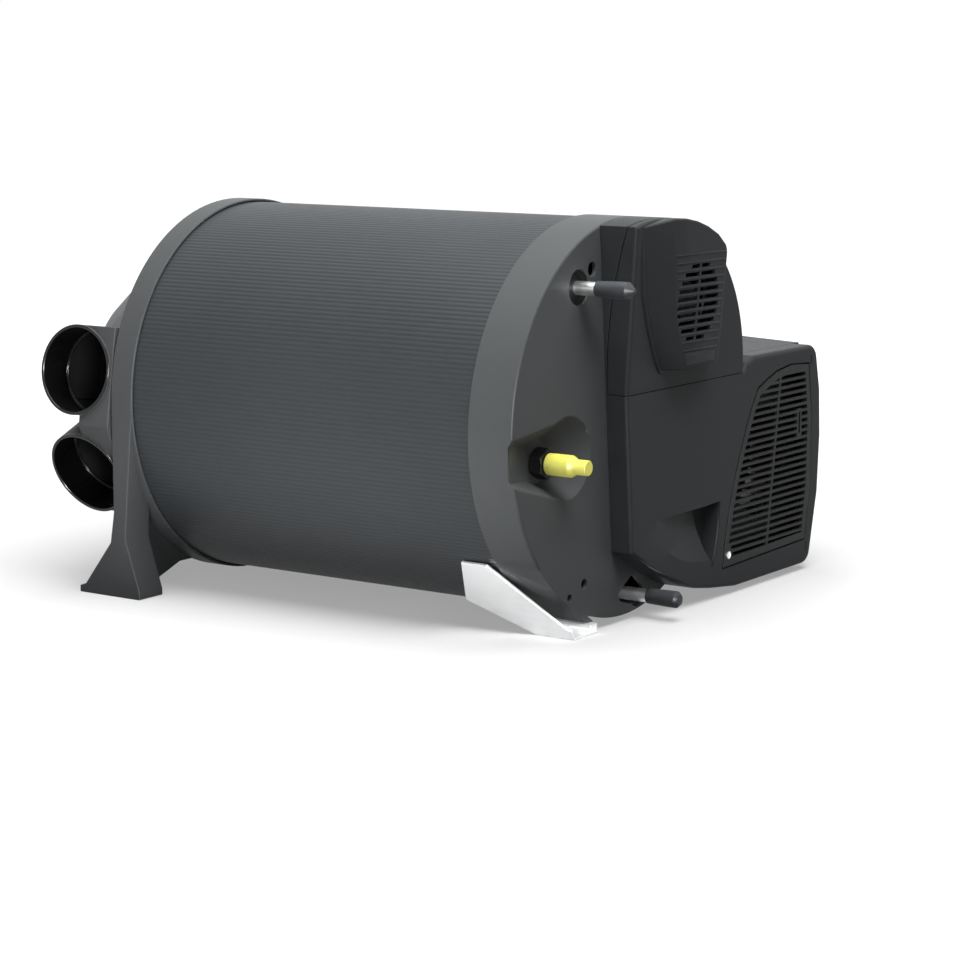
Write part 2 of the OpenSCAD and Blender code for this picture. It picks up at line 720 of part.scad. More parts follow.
// Cold water elbow on the tank's front plate, and the pipe out of it
elbow_top = axis_h - tank_r + 24;
elbow_inset = 9;
elbow_len = 20;
elbow_w = 14;
elbow_wall = 0.6;
elbow_low = axis_h + cold_yz[1] - water_pipe_r - elbow_wall;
module cold_water_elbow() color([0.15, 0.15, 0.16]) difference() {
  translate([tank_front, cold_yz[0] - elbow_w / 2, elbow_low])
    cube([elbow_len, elbow_w, elbow_top - elbow_low]);
  bar(tank_front - 1, tank_front + elbow_len / 2, water_pipe_r - 1, [cold_yz[0], elbow_top - elbow_inset]);
  bar(tank_front + elbow_len / 2, tank_front + elbow_len + 1, water_pipe_r - 1, at(cold_yz));
  translate([tank_front + elbow_len / 2, cold_yz[0], axis_h + cold_yz[1]])
    cylinder(r = water_pipe_r - 1, h = elbow_top - elbow_inset - axis_h - cold_yz[1]);
}
module cold_water_pipe() color([0.85, 0.86, 0.87]) difference() {
  bar(tank_front + elbow_len, face_x + cold_cap_start + cap_bite, water_pipe_r, at(cold_yz));
  bar(tank_front + elbow_len - 1, face_x + cold_cap_start + cap_bite + 1, water_pipe_r - 1, at(cold_yz));
}

// Gas pipe through the pocket's floor, with its nut
gas_inner = 18;
gas_cap_start = pocket_floor + gas_nut_t;
gas_pipe_end = gas_cap_start + cap_bite;
module gas_pipe() color([0.80, 0.78, 0.70]) difference() {
  bar(pocket_floor - gas_inner, gas_pipe_end, gas_pipe_r, at(gas_yz));
  bar(pocket_floor - gas_inner - 1, gas_pipe_end + 1, gas_pipe_r - 1, at(gas_yz));
}
module gas_nut() color([0.03, 0.03, 0.03]) difference() {
  bar(pocket_floor, pocket_floor + gas_nut_t, gas_nut_r, at(gas_yz), $fn = 6);
  bar(pocket_floor - 1, pocket_floor + gas_nut_t + 1, gas_pipe_r + screw_gap, at(gas_yz));
}

// Push-on transport caps: the water caps end in a blunt cone, the gas cap in a narrower grip
tip_len = 3;
tip_draw = 2.5;
module pipe_cap(x0, len, pipe_r, yz) difference() {
  union() {
    bar(x0, x0 + len - tip_len, pipe_r + cap_gap + cap_wall, yz);
    translate([x0 + len - tip_len, yz[0], yz[1]]) rotate([0, 90, 0])
      cylinder(r1 = pipe_r + cap_gap + cap_wall, r2 = pipe_r + cap_gap + cap_wall - tip_draw, h = tip_len);
  }
  bar(x0 - 1, x0 + cap_bite + pull_gap, pipe_r + cap_gap, yz);
}
module hot_water_cap() color([0.38, 0.40, 0.42])
  pipe_cap(face_x + stub_cap_start, hot_cap_len, water_pipe_r, at(hot_yz));
module cold_water_cap() color([0.38, 0.40, 0.42])
  pipe_cap(face_x + cold_cap_start, cold_cap_len, water_pipe_r, at(cold_yz));
module gas_cap() color([0.93, 0.91, 0.30]) difference() {
  union() {
    bar(gas_cap_start + pull_gap, gas_cap_start + gas_cap_big_len, gas_cap_big_r, at(gas_yz));
    bar(
      gas_cap_start + gas_cap_big_len, gas_cap_start + gas_cap_big_len + gas_cap_small_len, gas_cap_small_r,
      at(gas_yz)
    );
  }
  bar(pocket_floor, gas_pipe_end + pull_gap, gas_pipe_r + cap_gap, at(gas_yz));
}

// End view of the hood from height low up, drawn in by d: slanted wall on the left, round on the right
over = 5;
module hood_outline(d, low) intersection() {
  translate([0, axis_h]) circle(r = cap_r - d);
  polygon([
    [wall_y(low) + d, low], [cap_r + over, low], [cap_r + over, hood_top_z + over],
    [wall_y(hood_top_z + over) + d, hood_top_z + over]
  ]);
}
hood_low = seam_z + seam_gap;

// Side view between two curves of X over height, from below the seam to above the hood
side_steps = 12;
function side_z(i) = seam_z - over + (hood_top_z - seam_z + 2 * over) * i / side_steps;
function seam_side(shift) = [
  for (i = [0:side_steps]) [seam_curve(max(side_z(i), seam_z)) + shift, side_z(i)]
];
function face_side(d) = [for (i = [side_steps, 0]) [hood_x(side_z(i)) - d, side_z(i)]];
function cap_side() = [for (i = [side_steps, 0]) [face_x, side_z(i)]];

// Hood's base: the low wall on the cap that the hood closes on
module hood_base() color([0.26, 0.27, 0.28]) intersection() {
  slab(face_x, seam_x + hood_rise) difference() {
    hood_outline(0, hood_low);
    hood_outline(cover_t, seam_z - over);
  }
  side_slab(-cap_r, cap_r) polygon(concat(seam_side(-seam_gap), cap_side()));
}

// Control hood: the upper cover, open below and behind the vent cover
hood_hole_r = vent_r + 1;
module control_hood() color([0.24, 0.25, 0.26]) difference() {
  intersection() {
    slab(face_x, seam_x + hood_rise + over) hood_outline(0, hood_low);
    side_slab(-cap_r, cap_r) polygon(concat(seam_side(seam_gap), face_side(0)));
  }
  intersection() {
    slab(face_x, seam_x + hood_rise + over) hood_outline(cover_t, seam_z - over);
    side_slab(-cap_r, cap_r)
      polygon(concat(face_side(cover_t), [for (i = [0, side_steps]) [face_x, side_z(i)]]));
  }
  bar(face_x, vent_x, hood_hole_r, vent_yz);
}

// Vent cover: raised lid on the hood with a round field of slots
vent_low_z = 186;
vent_right_y = 79;
vent_corner = 12;
vent_corner_z = 268;
vent_bar = 2.4;
vent_seat_gap = 0.1;
vent_base_left = [[-28, 294], [-23.5, 270], [-18, 243], [-8, 221.5], [4, 201], [16, vent_low_z]];
vent_face_left = [[-3, 294], [1.5, 270], [7, 244], [14.5, 220], [21, 203.5], [28, vent_low_z]];

// Rim of the lid in the end view: left edge, lower right corner, upper right round and the cap's round
function vent_rim(left) = concat(
  left,
  [[vent_right_y - 4, vent_low_z], [vent_right_y, vent_low_z + 4]],
  arc([vent_right_y - vent_corner, vent_corner_z], vent_corner, 0, 45, 4),
  [for (y = [64, 48, 32, 16, 0]) [y, axis_h + sqrt(cap_r * cap_r - y * y)]]
);

// Solid between the rim on the hood and the rim on the lid's face, drawn in by d and sunk by sink
speck = 0.01;
module vent_body(d, sink) hull() {
  for (p = inset(vent_rim(vent_base_left), d))
    translate([hood_x(p[1]) + vent_seat_gap - sink, p[0], p[1]]) cube(speck);
  for (p = inset(vent_rim(vent_face_left), d)) translate([vent_face(p[1]) - d, p[0], p[1]]) cube(speck);
}
vent_rows = floor(2 * vent_r / vent_pitch);
function vent_row_z(i) = (i - (vent_rows - 1) / 2) * vent_pitch;
module vent_cover() color([0.26, 0.27, 0.29]) difference() {
  vent_body(0, 0);
  vent_body(cover_t, cover_t);
  for (i = [0:vent_rows - 1], side = [0, 1]) let (
    z = vent_row_z(i),
    w = sqrt(vent_r * vent_r - z * z) - vent_bar / 2,
    y = side > 0 ? vent_bar / 2 : -vent_bar / 2 - w
  ) translate([seam_x, vent_yz[0] + y, vent_yz[1] + z - slot_h / 2]) cube([vent_d, w, slot_h]);
}

// End view of the blower cover, anticlockwise from the top of the left wall
blower_corner = 12;
side_bulge = fan_yz[0] + 73;
side_top = side_bulge - 8;
side_low = side_bulge - 14;
bottom_curve = [
  [7, cap_low + 36.5], [27, cap_low + 26], [52, cap_low + 15.5], [78, cap_low + 8.5],
  [fan_yz[0] - 101, cap_low + 4.5], [fan_yz[0] - 64, blower_floor]
];
seam_right = sqrt(cap_r * cap_r - (seam_z - axis_h) * (seam_z - axis_h));
cover_points = concat(
  [[wall_y(seam_z), seam_z - seam_gap], wall_low],
  bottom_curve,
  arc([side_low - blower_corner, blower_floor + blower_corner], blower_corner, -90, -10, 5),
  [[side_bulge - 3, 62], [side_bulge, 108], [side_bulge - 2, 146]],
  arc([side_top - blower_corner, blower_top - blower_corner], blower_corner, 10, 90, 5),
  [[seam_right + 18, blower_top], [seam_right + 6, blower_top - 4], [seam_right, seam_z - seam_gap]]
);

// Intake grille's outline round the blower's axis: bowed left edge, arched top
grille_shape = [
  [-85, -72], [47, -69], [54, -21], [55, 30], [49, 73], [21, 75], [-3, 72], [-19, 67], [-34, 61],
  [-45, 45], [-57, 22], [-67, -1], [-76, -27], [-82, -51]
];
grille_points = [for (p = grille_shape) fan_yz + p];
grille_lip = 3;
grille_ledge_t = 2;
grille_gap = 1.2;
grille_back = seam_x - grille_t;

// Scoop in the blower cover: a quarter of an oval cone, deepest at its upper right corner
scoop_corner = fan_yz - [105, 20];
scoop_w = 88;
scoop_h = 46;
scoop_d = 12;
scoop_steps = 10;
function scoop_rim(grow) = [
  for (i = [0:scoop_steps]) let (a = 180 + 90 * i / scoop_steps)
    scoop_corner + [(scoop_w + grow) * cos(a), (scoop_h + grow) * sin(a)]
];
module scoop(depth, grow, out) let (
  rim = scoop_rim(grow),
  n = scoop_steps + 1,
  c = scoop_corner + [grow, grow]
) polyhedron(
  points = concat(
    [for (p = rim) [seam_x + out, p[0], p[1]]],
    [[seam_x + out, c[0], c[1]], [seam_x - depth, c[0], c[1]]]
  ),
  faces = concat(
    [for (i = [0:n - 2]) [i, i + 1, n + 1]],
    [for (i = [0:n - 2]) [i + 1, i, n]],
    [[n - 1, n, n + 1], [n, 0, n + 1]]
  )
);

// Deep notch at the right of the scoop
notch_shape = [
  [-12, 0], [-11, -17], [-6, -34], [2.5, -47.5], [6.5, -39.5], [9.5, -27.5], [11.5, -18], [13, 1]
];
notch_points = [for (p = notch_shape) scoop_corner + p];
notch_d = 13;

// Blower cover: the lower front cover, with the grille's opening, the scoop and its notch
module blower_cover() color([0.22, 0.23, 0.24]) difference() {
  union() {
    difference() {
      slab(face_x, seam_x) polygon(cover_points);
      slab(face_x - 1, seam_x - cover_t) polygon(inset(cover_points, cover_t));
      translate([face_x - 1, wall_y(seam_z) + cover_t, seam_z - 2 * over])
        cube([cover_d + 1 - cover_t, seam_right - wall_y(seam_z) - 2 * cover_t, 4 * over]);
    }
    scoop(scoop_d + 2, 2, -speck);
    slab(seam_x - notch_d - 2, seam_x - speck) polygon(inset(notch_points, -2));
    slab(grille_back - grille_ledge_t, seam_x - speck) polygon(inset(grille_points, -grille_lip));
  }
  scoop(scoop_d, 0, 1);
  slab(seam_x - notch_d, seam_x + 1) polygon(notch_points);
  slab(face_x, seam_x + 1) polygon(inset(grille_points, grille_lip));
  slab(grille_back, seam_x + 1) polygon(inset(grille_points, -grille_gap));
}

// Intake grille: slotted panel in the blower cover's opening, with rows split by a slanting bar
bar_low = fan_yz[0] - 16;
bar_high = fan_yz[0] + 3;
bar_w = 3;
grille_border = 6;
grille_low = fan_yz[1] - 65;
grille_high = fan_yz[1] + 69;
slot_start = fan_yz[0] - 103;
slot_run = 170;
grille_rows = floor((grille_high - grille_low) / grille_pitch);
latch_yz = fan_yz + [35, 27];
latch_slot = [2.4, 17];
latch_plate = [8, 23];
grille_screw_yz = fan_yz - [78, 63];
screw_boss_r = 7;
function bar_y(z) = bar_low + (bar_high - bar_low) * (z - grille_low) / (grille_high - grille_low);
module centred(size, c) translate(c - size / 2) square(size);
module grille_slots() intersection() {
  polygon(inset(grille_points, grille_border));
  union() {
    difference() {
      for (i = [0:grille_rows])
        translate([slot_start, grille_low + i * grille_pitch]) square([slot_run, slot_h]);
      polygon([
        [bar_y(0) - bar_w / 2, 0], [bar_y(0) + bar_w / 2, 0],
        [bar_y(blower_top) + bar_w / 2, blower_top], [bar_y(blower_top) - bar_w / 2, blower_top]
      ]);
      centred(latch_plate, latch_yz);
      translate(grille_screw_yz) circle(r = screw_boss_r);
    }
    centred(latch_slot, latch_yz);
  }
}
module intake_grille() color([0.17, 0.18, 0.18]) difference() {
  slab(grille_back, seam_x) polygon(grille_points);
  slab(grille_back - 1, seam_x + 1) grille_slots();
  bar(grille_back - 1, seam_x + 1, screw_r + screw_gap, grille_screw_yz);
}
grille_screw_r = 3;
grille_screw_t = 1.4;
module grille_screw() color([0.80, 0.81, 0.82]) {
  bar(seam_x, seam_x + grille_screw_t, grille_screw_r, grille_screw_yz);
  bar(grille_back, seam_x, screw_r, grille_screw_yz);
}

// Blower housing behind the cover, beside the boiler, widening towards its closed end
blower_back = face_x - blower_len;
housing_corner = 16;
housing_gap = 0.6;
housing_points = concat(
  [[bottom_curve[1][0] - 7, blower_top], bottom_curve[1] - [7, 0], bottom_curve[2], bottom_curve[3]],
  arc([blower_reach - housing_corner, blower_floor + housing_corner], housing_corner, -90, 0, 6),
  arc([blower_reach - housing_corner, blower_top - housing_corner], housing_corner, 0, 90, 6)
);
module housing_outline(d) difference() {
  polygon(inset(housing_points, d));
  translate([0, axis_h]) circle(r = cap_r + housing_gap + d);
}

// Top view of the housing's slanted side, drawn in by d
taper_start = 20;
module housing_taper(d) translate([0, 0, -1]) linear_extrude(blower_top + 2) polygon([
  [blower_back - 1, 0], [face_x + 1, 0], [face_x + 1, side_top - d],
  [blower_back + taper_start, blower_reach - d], [blower_back - 1, blower_reach - d]
]);
module blower_housing() color([0.24, 0.25, 0.26]) difference() {
  union() {
    intersection() {
      slab(blower_back, face_x) housing_outline(0);
      housing_taper(0);
    }
    slab(face_x - cover_t, face_x) difference() {
      polygon(cover_points);
      translate([0, axis_h]) circle(r = cap_r + housing_gap);
      translate([-cap_r, -cap_r]) square([cap_r + fan_yz[0] - 2 * fan_side, 4 * cap_r]);
    }
  }
  intersection() {
    slab(blower_back + cover_t, face_x + 1) housing_outline(cover_t);
    housing_taper(cover_t);
  }
  translate([duct_x[0], 0, axis_h + duct_z[0]])
    cube([duct_x[1] - duct_x[0], cap_r + housing_gap + cover_t + 1, duct_z[1] - duct_z[0]]);
}

// Rubber foot under the blower housing
foot_pad = [40, 40];
module blower_foot() color([0.05, 0.05, 0.05])
  translate([blower_back + blower_len / 2 - foot_pad[0] / 2, fan_yz[0] - foot_pad[1] / 2, 0])
    cube([foot_pad[0], foot_pad[1], blower_floor]);

// Plate across the housing that carries the motor
motor_boss_r = 10;
module motor_plate() color([0.62, 0.63, 0.64]) difference() {
  intersection() {
    slab(motor_front, motor_plate_x) housing_outline(cover_t + fit_gap);
    housing_taper(cover_t + fit_gap);
  }
  bar(motor_front - 1, motor_plate_x + 1, motor_boss_r, fan_yz);
  motor_screw_places() bar(motor_front - 1, motor_plate_x + 1, screw_r + screw_gap, [0, 0]);
}

// Screws round the motor's face
motor_screw_ring = 22;
motor_screw_bite = 4.5;
module motor_screw_places() for (a = [0:120:240])
  translate([0, fan_yz[0], fan_yz[1]]) rotate([a, 0, 0]) translate([0, 0, motor_screw_ring]) children();
module motor_screws() color([0.80, 0.80, 0.80]) motor_screw_places() {
  bar(motor_front - motor_screw_bite, motor_plate_x, screw_r, [0, 0]);
  bar(motor_plate_x, motor_plate_x + screw_head_t, screw_head_r, [0, 0]);
}

// Blower motor with the bearing that carries the shaft
motor_front = motor_plate_x - motor_plate_t;
motor_bore = 30;
motor_tail = 5;
module blower_motor() color([0.20, 0.20, 0.21]) difference() {
  union() {
    bar(motor_front - motor_len, motor_front, motor_r, fan_yz);
    bar(motor_front - motor_len - motor_tail, motor_front - motor_len, motor_r / 3, fan_yz);
  }
  bar(motor_front - motor_bore, motor_front + 1, shaft_r + bearing_gap, fan_yz);
  motor_screw_places() bar(motor_front - motor_screw_bite - 1, motor_front + 1, screw_r + screw_gap, [0, 0]);
}

// Ring in front of the wheel that guides the air into its eye
eye_r = 44;
module inlet_ring() color([0.20, 0.21, 0.22]) difference() {
  intersection() {
    slab(face_x - inlet_t, face_x) housing_outline(cover_t + fit_gap);
    housing_taper(cover_t + fit_gap);
  }
  bar(face_x - inlet_t - 1, face_x + 1, eye_r, fan_yz);
}

// Blower wheel: back disc, curved blades and front ring, on its shaft
blade_t = 1.2;
blade_d = 9;
blade_lean = 35;
hub_r = 10;
hub_len = 14;
module blower_wheel() color([0.12, 0.12, 0.13]) difference() {
  union() {
    bar(wheel_back - disc_t, wheel_back, wheel_r, fan_yz);
    bar(wheel_back, wheel_back + hub_len, hub_r, fan_yz);
    slab(wheel_front - ring_t, wheel_front) translate(fan_yz) difference() {
      circle(r = wheel_r);
      circle(r = wheel_r - blade_d * cos(blade_lean));
    }
    slab(wheel_back, wheel_front - ring_t) translate(fan_yz) for (i = [0:wheel_blades - 1])
      rotate(i * 360 / wheel_blades) translate([wheel_r - blade_t, 0]) rotate(blade_lean)
        translate([-blade_d, -blade_t / 2]) square([blade_d, blade_t]);
  }
  bar(wheel_back - disc_t - 1, wheel_back + hub_len + 1, shaft_r, fan_yz);
}
shaft_tail = 28;
module blower_shaft() color([0.75, 0.75, 0.76])
  bar(motor_front - shaft_tail, wheel_back + hub_len, shaft_r, fan_yz);

// Combustion fan: round housing on the cap's face with a duct down to the burner
volute_wall = 1.5;
volute_front = face_x + volute_w;
duct_half = 13;
volute_points = concat(
  arc(burner_fan_yz, volute_r, -70, 180, 24),
  [[-duct_half, axis_h - duct_half], [duct_half, axis_h - duct_half]]
);
module combustion_housing() color([0.06, 0.06, 0.06]) difference() {
  slab(face_x, volute_front) polygon(volute_points);
  slab(face_x + volute_wall, volute_front - volute_wall) polygon(inset(volute_points, volute_wall));
  bar(volute_front - volute_wall - 1, volute_front + 1, burner_shaft_r + 1, burner_fan_yz);
  bar(face_x - 1, face_x + jet_head_t + 1, jet_head_r + fit_gap);
}
burner_shaft_len = 11;
module combustion_motor() color([0.18, 0.18, 0.19]) difference() {
  bar(volute_front, volute_front + burner_motor_len, burner_motor_r, burner_fan_yz);
  bar(volute_front - 1, volute_front + burner_shaft_len + 1, burner_shaft_r + bearing_gap, burner_fan_yz);
}
burner_wheel_x = face_x + 2 * volute_wall;
burner_disc_t = 1.5;
burner_hub_r = 7;
burner_blade_t = 1.2;
burner_blade_d = burner_fan_r - burner_hub_r - 0.5;
module combustion_wheel() color([0.60, 0.60, 0.61]) {
  bar(burner_wheel_x, burner_wheel_x + burner_disc_t, burner_fan_r, burner_fan_yz);
  bar(burner_wheel_x, volute_front + burner_shaft_len, burner_shaft_r, burner_fan_yz);
  slab(burner_wheel_x + burner_disc_t, burner_wheel_x + burner_fan_w) translate(burner_fan_yz)
    for (i = [0:burner_fan_blades - 1]) rotate(i * 360 / burner_fan_blades)
      translate([burner_hub_r, -burner_blade_t / 2]) square([burner_blade_d, burner_blade_t]);
}

// Control board on its standoffs, with its larger parts
board = [36, 52];
board_yz = [79, 178];
board_t = 1.6;
standoff_h = 7;
standoff_r = 3;
standoff_inset = 5;
board_x = face_x + standoff_h;
relay = [6, 11, 14];
plug = [5, 28, 8];
module control_board() color([0.08, 0.30, 0.16])
  translate([board_x, board_yz[0], board_yz[1]]) cube([board_t, board[0], board[1]]);
module board_standoffs() color([0.72, 0.62, 0.30])
  for (y = [standoff_inset, board[0] - standoff_inset], z = [standoff_inset, board[1] - standoff_inset])
    bar(face_x, board_x, standoff_r, board_yz + [y, z]);
module board_parts() color([0.12, 0.12, 0.12]) translate([board_x + board_t, board_yz[0], board_yz[1]]) {
  for (y = [4, 20]) translate([0, y, 8]) cube(relay);
  translate([0, 4, 32]) cube(plug);
}

// Gas valve on the cap's face, with its two coils
valve_yz = [34, 92];
valve_size = [10, 44, 34];
coil_r = 8;
coil_t = 4;
module gas_valve() color([0.66, 0.62, 0.50]) {
  translate([face_x, valve_yz[0], valve_yz[1]]) cube(valve_size);
  for (y = [12, 32])
    bar(face_x + valve_size[0], face_x + valve_size[0] + coil_t, coil_r, valve_yz + [y, valve_size[2] / 2]);
}

place() rear_frame();
place() rear_seal();
place() air_distributor();
place() outlet_sleeve(-1, outlet_up);  // outlet_front_upper
place() outlet_sleeve(-1, -outlet_down);  // outlet_front_lower
place() outlet_sleeve(1, outlet_up);  // outlet_back_upper
place() outlet_sleeve(1, -outlet_down);  // outlet_back_lower
place() frame_screws();
place() jacket();
place() foam_half(true);  // foam_upper
place() foam_half(false);  // foam_lower
place() water_tank();
place() heat_exchanger();
place() burner_tube();
place() burner_jet();
place() ignition_electrode();
place() exhaust_collector();
place() exhaust_stub();
place() air_intake_collar();
place() tank_sensor();
place() front_cap();
place() cap_seal();
place() support_bracket();
place() hot_water_pipe();
place() hot_water_grommet();
place() cold_water_pipe();
place() cold_water_elbow();
place() gas_pipe();
place() gas_nut();
place() hot_water_cap();
place() cold_water_cap();
place() gas_cap();
place() hood_base();
place() control_hood();
place() vent_cover();
place() blower_cover();
place() intake_grille();
place() grille_screw();
place() blower_housing();
place() blower_foot();
place() motor_plate();
place() blower_motor();
place() motor_screws();
place() inlet_ring();
place() blower_wheel();
place() blower_shaft();
place() combustion_housing();
place() combustion_motor();
place() combustion_wheel();
place() control_board();
place() board_standoffs();
place() board_parts();
place() gas_valve();
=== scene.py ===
"""Looks of a caravan water heater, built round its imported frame.

Sizes are in millimetres in the boiler's own frame: X runs along the boiler from the front edge of
the rear frame, Y runs across it from its axis, and Z runs up from the floor.  Placing a piece moves
it into the part's frame and into metres.
"""
import logging
import math
from dataclasses import dataclass, field
from enum import Enum
from typing import Callable, Iterable, Optional, Sequence

import bmesh
import bpy
import numpy as np
from mathutils import Matrix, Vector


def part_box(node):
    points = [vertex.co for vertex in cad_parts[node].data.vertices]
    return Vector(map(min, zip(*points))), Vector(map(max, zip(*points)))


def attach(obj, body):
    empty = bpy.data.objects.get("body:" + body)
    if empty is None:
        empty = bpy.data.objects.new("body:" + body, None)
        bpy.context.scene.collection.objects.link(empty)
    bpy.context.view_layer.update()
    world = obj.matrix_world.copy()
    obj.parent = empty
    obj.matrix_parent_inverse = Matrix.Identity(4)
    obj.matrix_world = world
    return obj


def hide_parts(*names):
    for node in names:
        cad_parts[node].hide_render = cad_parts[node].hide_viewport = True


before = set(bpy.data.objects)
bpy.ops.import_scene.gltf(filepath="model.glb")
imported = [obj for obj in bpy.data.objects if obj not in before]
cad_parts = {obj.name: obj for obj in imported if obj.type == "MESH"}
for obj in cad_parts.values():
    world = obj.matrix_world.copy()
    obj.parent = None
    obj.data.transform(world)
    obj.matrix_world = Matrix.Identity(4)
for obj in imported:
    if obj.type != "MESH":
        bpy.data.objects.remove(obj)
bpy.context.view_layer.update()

LOG = logging.getLogger("heater")
MM = 0.001

AXIS_Z = 152.0
JACKET_BACK = -18.0
FACE_X = 348.0
SEAM_X = 366.0
RIM_IN, RIM_FOOT = 146.0, 62.0
SEAT_ROUND = 0.3
FAN = (203.0, 95.0)

FLECK, FLECK_ROUGH, GLOSS_SHIFT = 0.16, 0.10, 0.16
COAT_ROUGHNESS = 0.12
BUMP_DEPTH = 0.0004


def boiler_origin() -> np.ndarray:
    """Returns the boiler frame's origin in the part's frame, read from the jacket's box.

    Returns:
        Three offsets in millimetres.
    """
    low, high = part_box("jacket")
    return np.array([low.x / MM - JACKET_BACK, (low.y + high.y) / 2 / MM, 0.0])


ORIGIN = boiler_origin()


class Body(Enum):
    """Bodies that a piece can ride on."""

    HEATER = "heater"
    HOT_CAP = "hot_cap"
    COLD_CAP = "cold_cap"
    GAS_CAP = "gas_stub_cap"
    BLOWER = "blower_rotor"
    BURNER_FAN = "combustion_rotor"


class Family(Enum):
    """Ways a finish is put together."""

    MOULDED = "moulded"
    METAL = "metal"
    RUBBER = "rubber"
    FOAM = "foam"


# Node groups

def new_group(name: str, inputs: dict[str, float], outputs: dict[str, str]) -> bpy.types.NodeTree:
    """Makes an empty shader node group with named sockets.

    Args:
        name: The group's name.
        inputs: Float inputs with their default values.
        outputs: Outputs with their socket types.

    Returns:
        The group, with its input and output nodes.
    """
    tree = bpy.data.node_groups.new(name, "ShaderNodeTree")
    for key, value in inputs.items():
        socket = tree.interface.new_socket(key, in_out="INPUT", socket_type="NodeSocketFloat")
        socket.default_value = value
    for key, kind in outputs.items():
        tree.interface.new_socket(key, in_out="OUTPUT", socket_type=kind)
    tree.nodes.new("NodeGroupInput")
    tree.nodes.new("NodeGroupOutput")
    return tree


def add(tree: bpy.types.NodeTree, kind: str, values: Optional[dict] = None, **attributes) -> bpy.types.Node:
    """Adds a node to a tree.

    Args:
        tree: The node tree.
        kind: The node's type.
        values: Default values of inputs, by name or index.
        attributes: Properties of the node.

    Returns:
        The new node.
    """
    node = tree.nodes.new(kind)
    for key, value in attributes.items():
        setattr(node, key, value)
    for key, value in (values or {}).items():
        node.inputs[key].default_value = value
    return node


def math_node(tree: bpy.types.NodeTree, operation: str, a, b=None) -> bpy.types.NodeSocket:
    """Adds a math node.

    Args:
        tree: The node tree.
        operation: The operation's name.
        a: A socket or a number.
        b: A socket or a number, or nothing.

    Returns:
        The result's socket.
    """
    node = add(tree, "ShaderNodeMath", operation=operation)
    for index, value in enumerate((a, b)):
        if isinstance(value, bpy.types.NodeSocket):
            tree.links.new(value, node.inputs[index])
        elif value is not None:
            node.inputs[index].default_value = value
    return node.outputs[0]


def object_noise(
    tree: bpy.types.NodeTree, scale, detail: float = 2.0, stretch: Sequence[float] = (1, 1, 1)
) -> bpy.types.NodeSocket:
    """Adds noise on Object coordinates.

    Args:
        tree: The node tree.
        scale: A socket or a number: cells in a metre.
        detail: The noise's detail.
        stretch: Scale of each axis before the noise.

    Returns:
        The noise's value.
    """
    where = add(tree, "ShaderNodeTexCoord")
    turn = add(tree, "ShaderNodeMapping", {"Scale": stretch})
    noise = add(tree, "ShaderNodeTexNoise", {"Detail": detail})
    tree.links.new(where.outputs["Object"], turn.inputs["Vector"])
    tree.links.new(turn.outputs["Vector"], noise.inputs["Vector"])
    if isinstance(scale, bpy.types.NodeSocket):
        tree.links.new(scale, noise.inputs["Scale"])
    else:
        noise.inputs["Scale"].default_value = scale
    return noise.outputs["Fac"]


class Effects:
    """Effects that several finishes share, each a node group built once."""

    def __init__(self) -> None:
        """Builds the groups."""
        self.grain = self._grain()
        self.mottle = self._mottle()
        self.brush = self._brush()

    def _grain(self) -> bpy.types.NodeTree:
        """Returns the moulded grain: round pits of one size over a finer noise."""
        tree = new_group(
            "moulded_grain", {"Scale": 1400.0}, {"Height": "NodeSocketFloat", "Speck": "NodeSocketFloat"}
        )
        source, result = tree.nodes[0], tree.nodes[1]
        where = add(tree, "ShaderNodeTexCoord")
        cells = add(tree, "ShaderNodeTexVoronoi", feature="SMOOTH_F1")
        tree.links.new(where.outputs["Object"], cells.inputs["Vector"])
        tree.links.new(source.outputs["Scale"], cells.inputs["Scale"])
        fine = object_noise(tree, math_node(tree, "MULTIPLY", source.outputs["Scale"], 2.2))
        tree.links.new(
            math_node(tree, "ADD", cells.outputs["Distance"], math_node(tree, "MULTIPLY", fine, 0.6)),
            result.inputs["Height"],
        )
        tree.links.new(fine, result.inputs["Speck"])
        return tree

    def _mottle(self) -> bpy.types.NodeTree:
        """Returns slow changes of shade and of gloss over a surface."""
        tree = new_group(
            "mottle", {"Scale": 9.0, "Amount": 0.06}, {"Shade": "NodeSocketFloat", "Gloss": "NodeSocketFloat"}
        )
        source, result = tree.nodes[0], tree.nodes[1]
        slow = object_noise(tree, source.outputs["Scale"], 3.0)
        quick = object_noise(tree, math_node(tree, "MULTIPLY", source.outputs["Scale"], 14.0), 4.0)
        both = math_node(tree, "ADD", slow, math_node(tree, "MULTIPLY", quick, 0.5))
        centred = math_node(tree, "SUBTRACT", both, 0.75)
        reach = math_node(tree, "MULTIPLY", source.outputs["Amount"], 4.0)
        shift = math_node(tree, "MULTIPLY", centred, reach)
        tree.links.new(math_node(tree, "ADD", shift, 1.0), result.inputs["Shade"])
        tree.links.new(quick, result.inputs["Gloss"])
        return tree

    def _brush(self) -> bpy.types.NodeTree:
        """Returns drawn lines along X: noise stretched fifty times."""
        tree = new_group("drawn_lines", {"Scale": 900.0}, {"Lines": "NodeSocketFloat"})
        source, result = tree.nodes[0], tree.nodes[1]
        tree.links.new(
            object_noise(tree, source.outputs["Scale"], 3.0, (0.02, 1, 1)), result.inputs["Lines"]
        )
        return tree


# Finishes

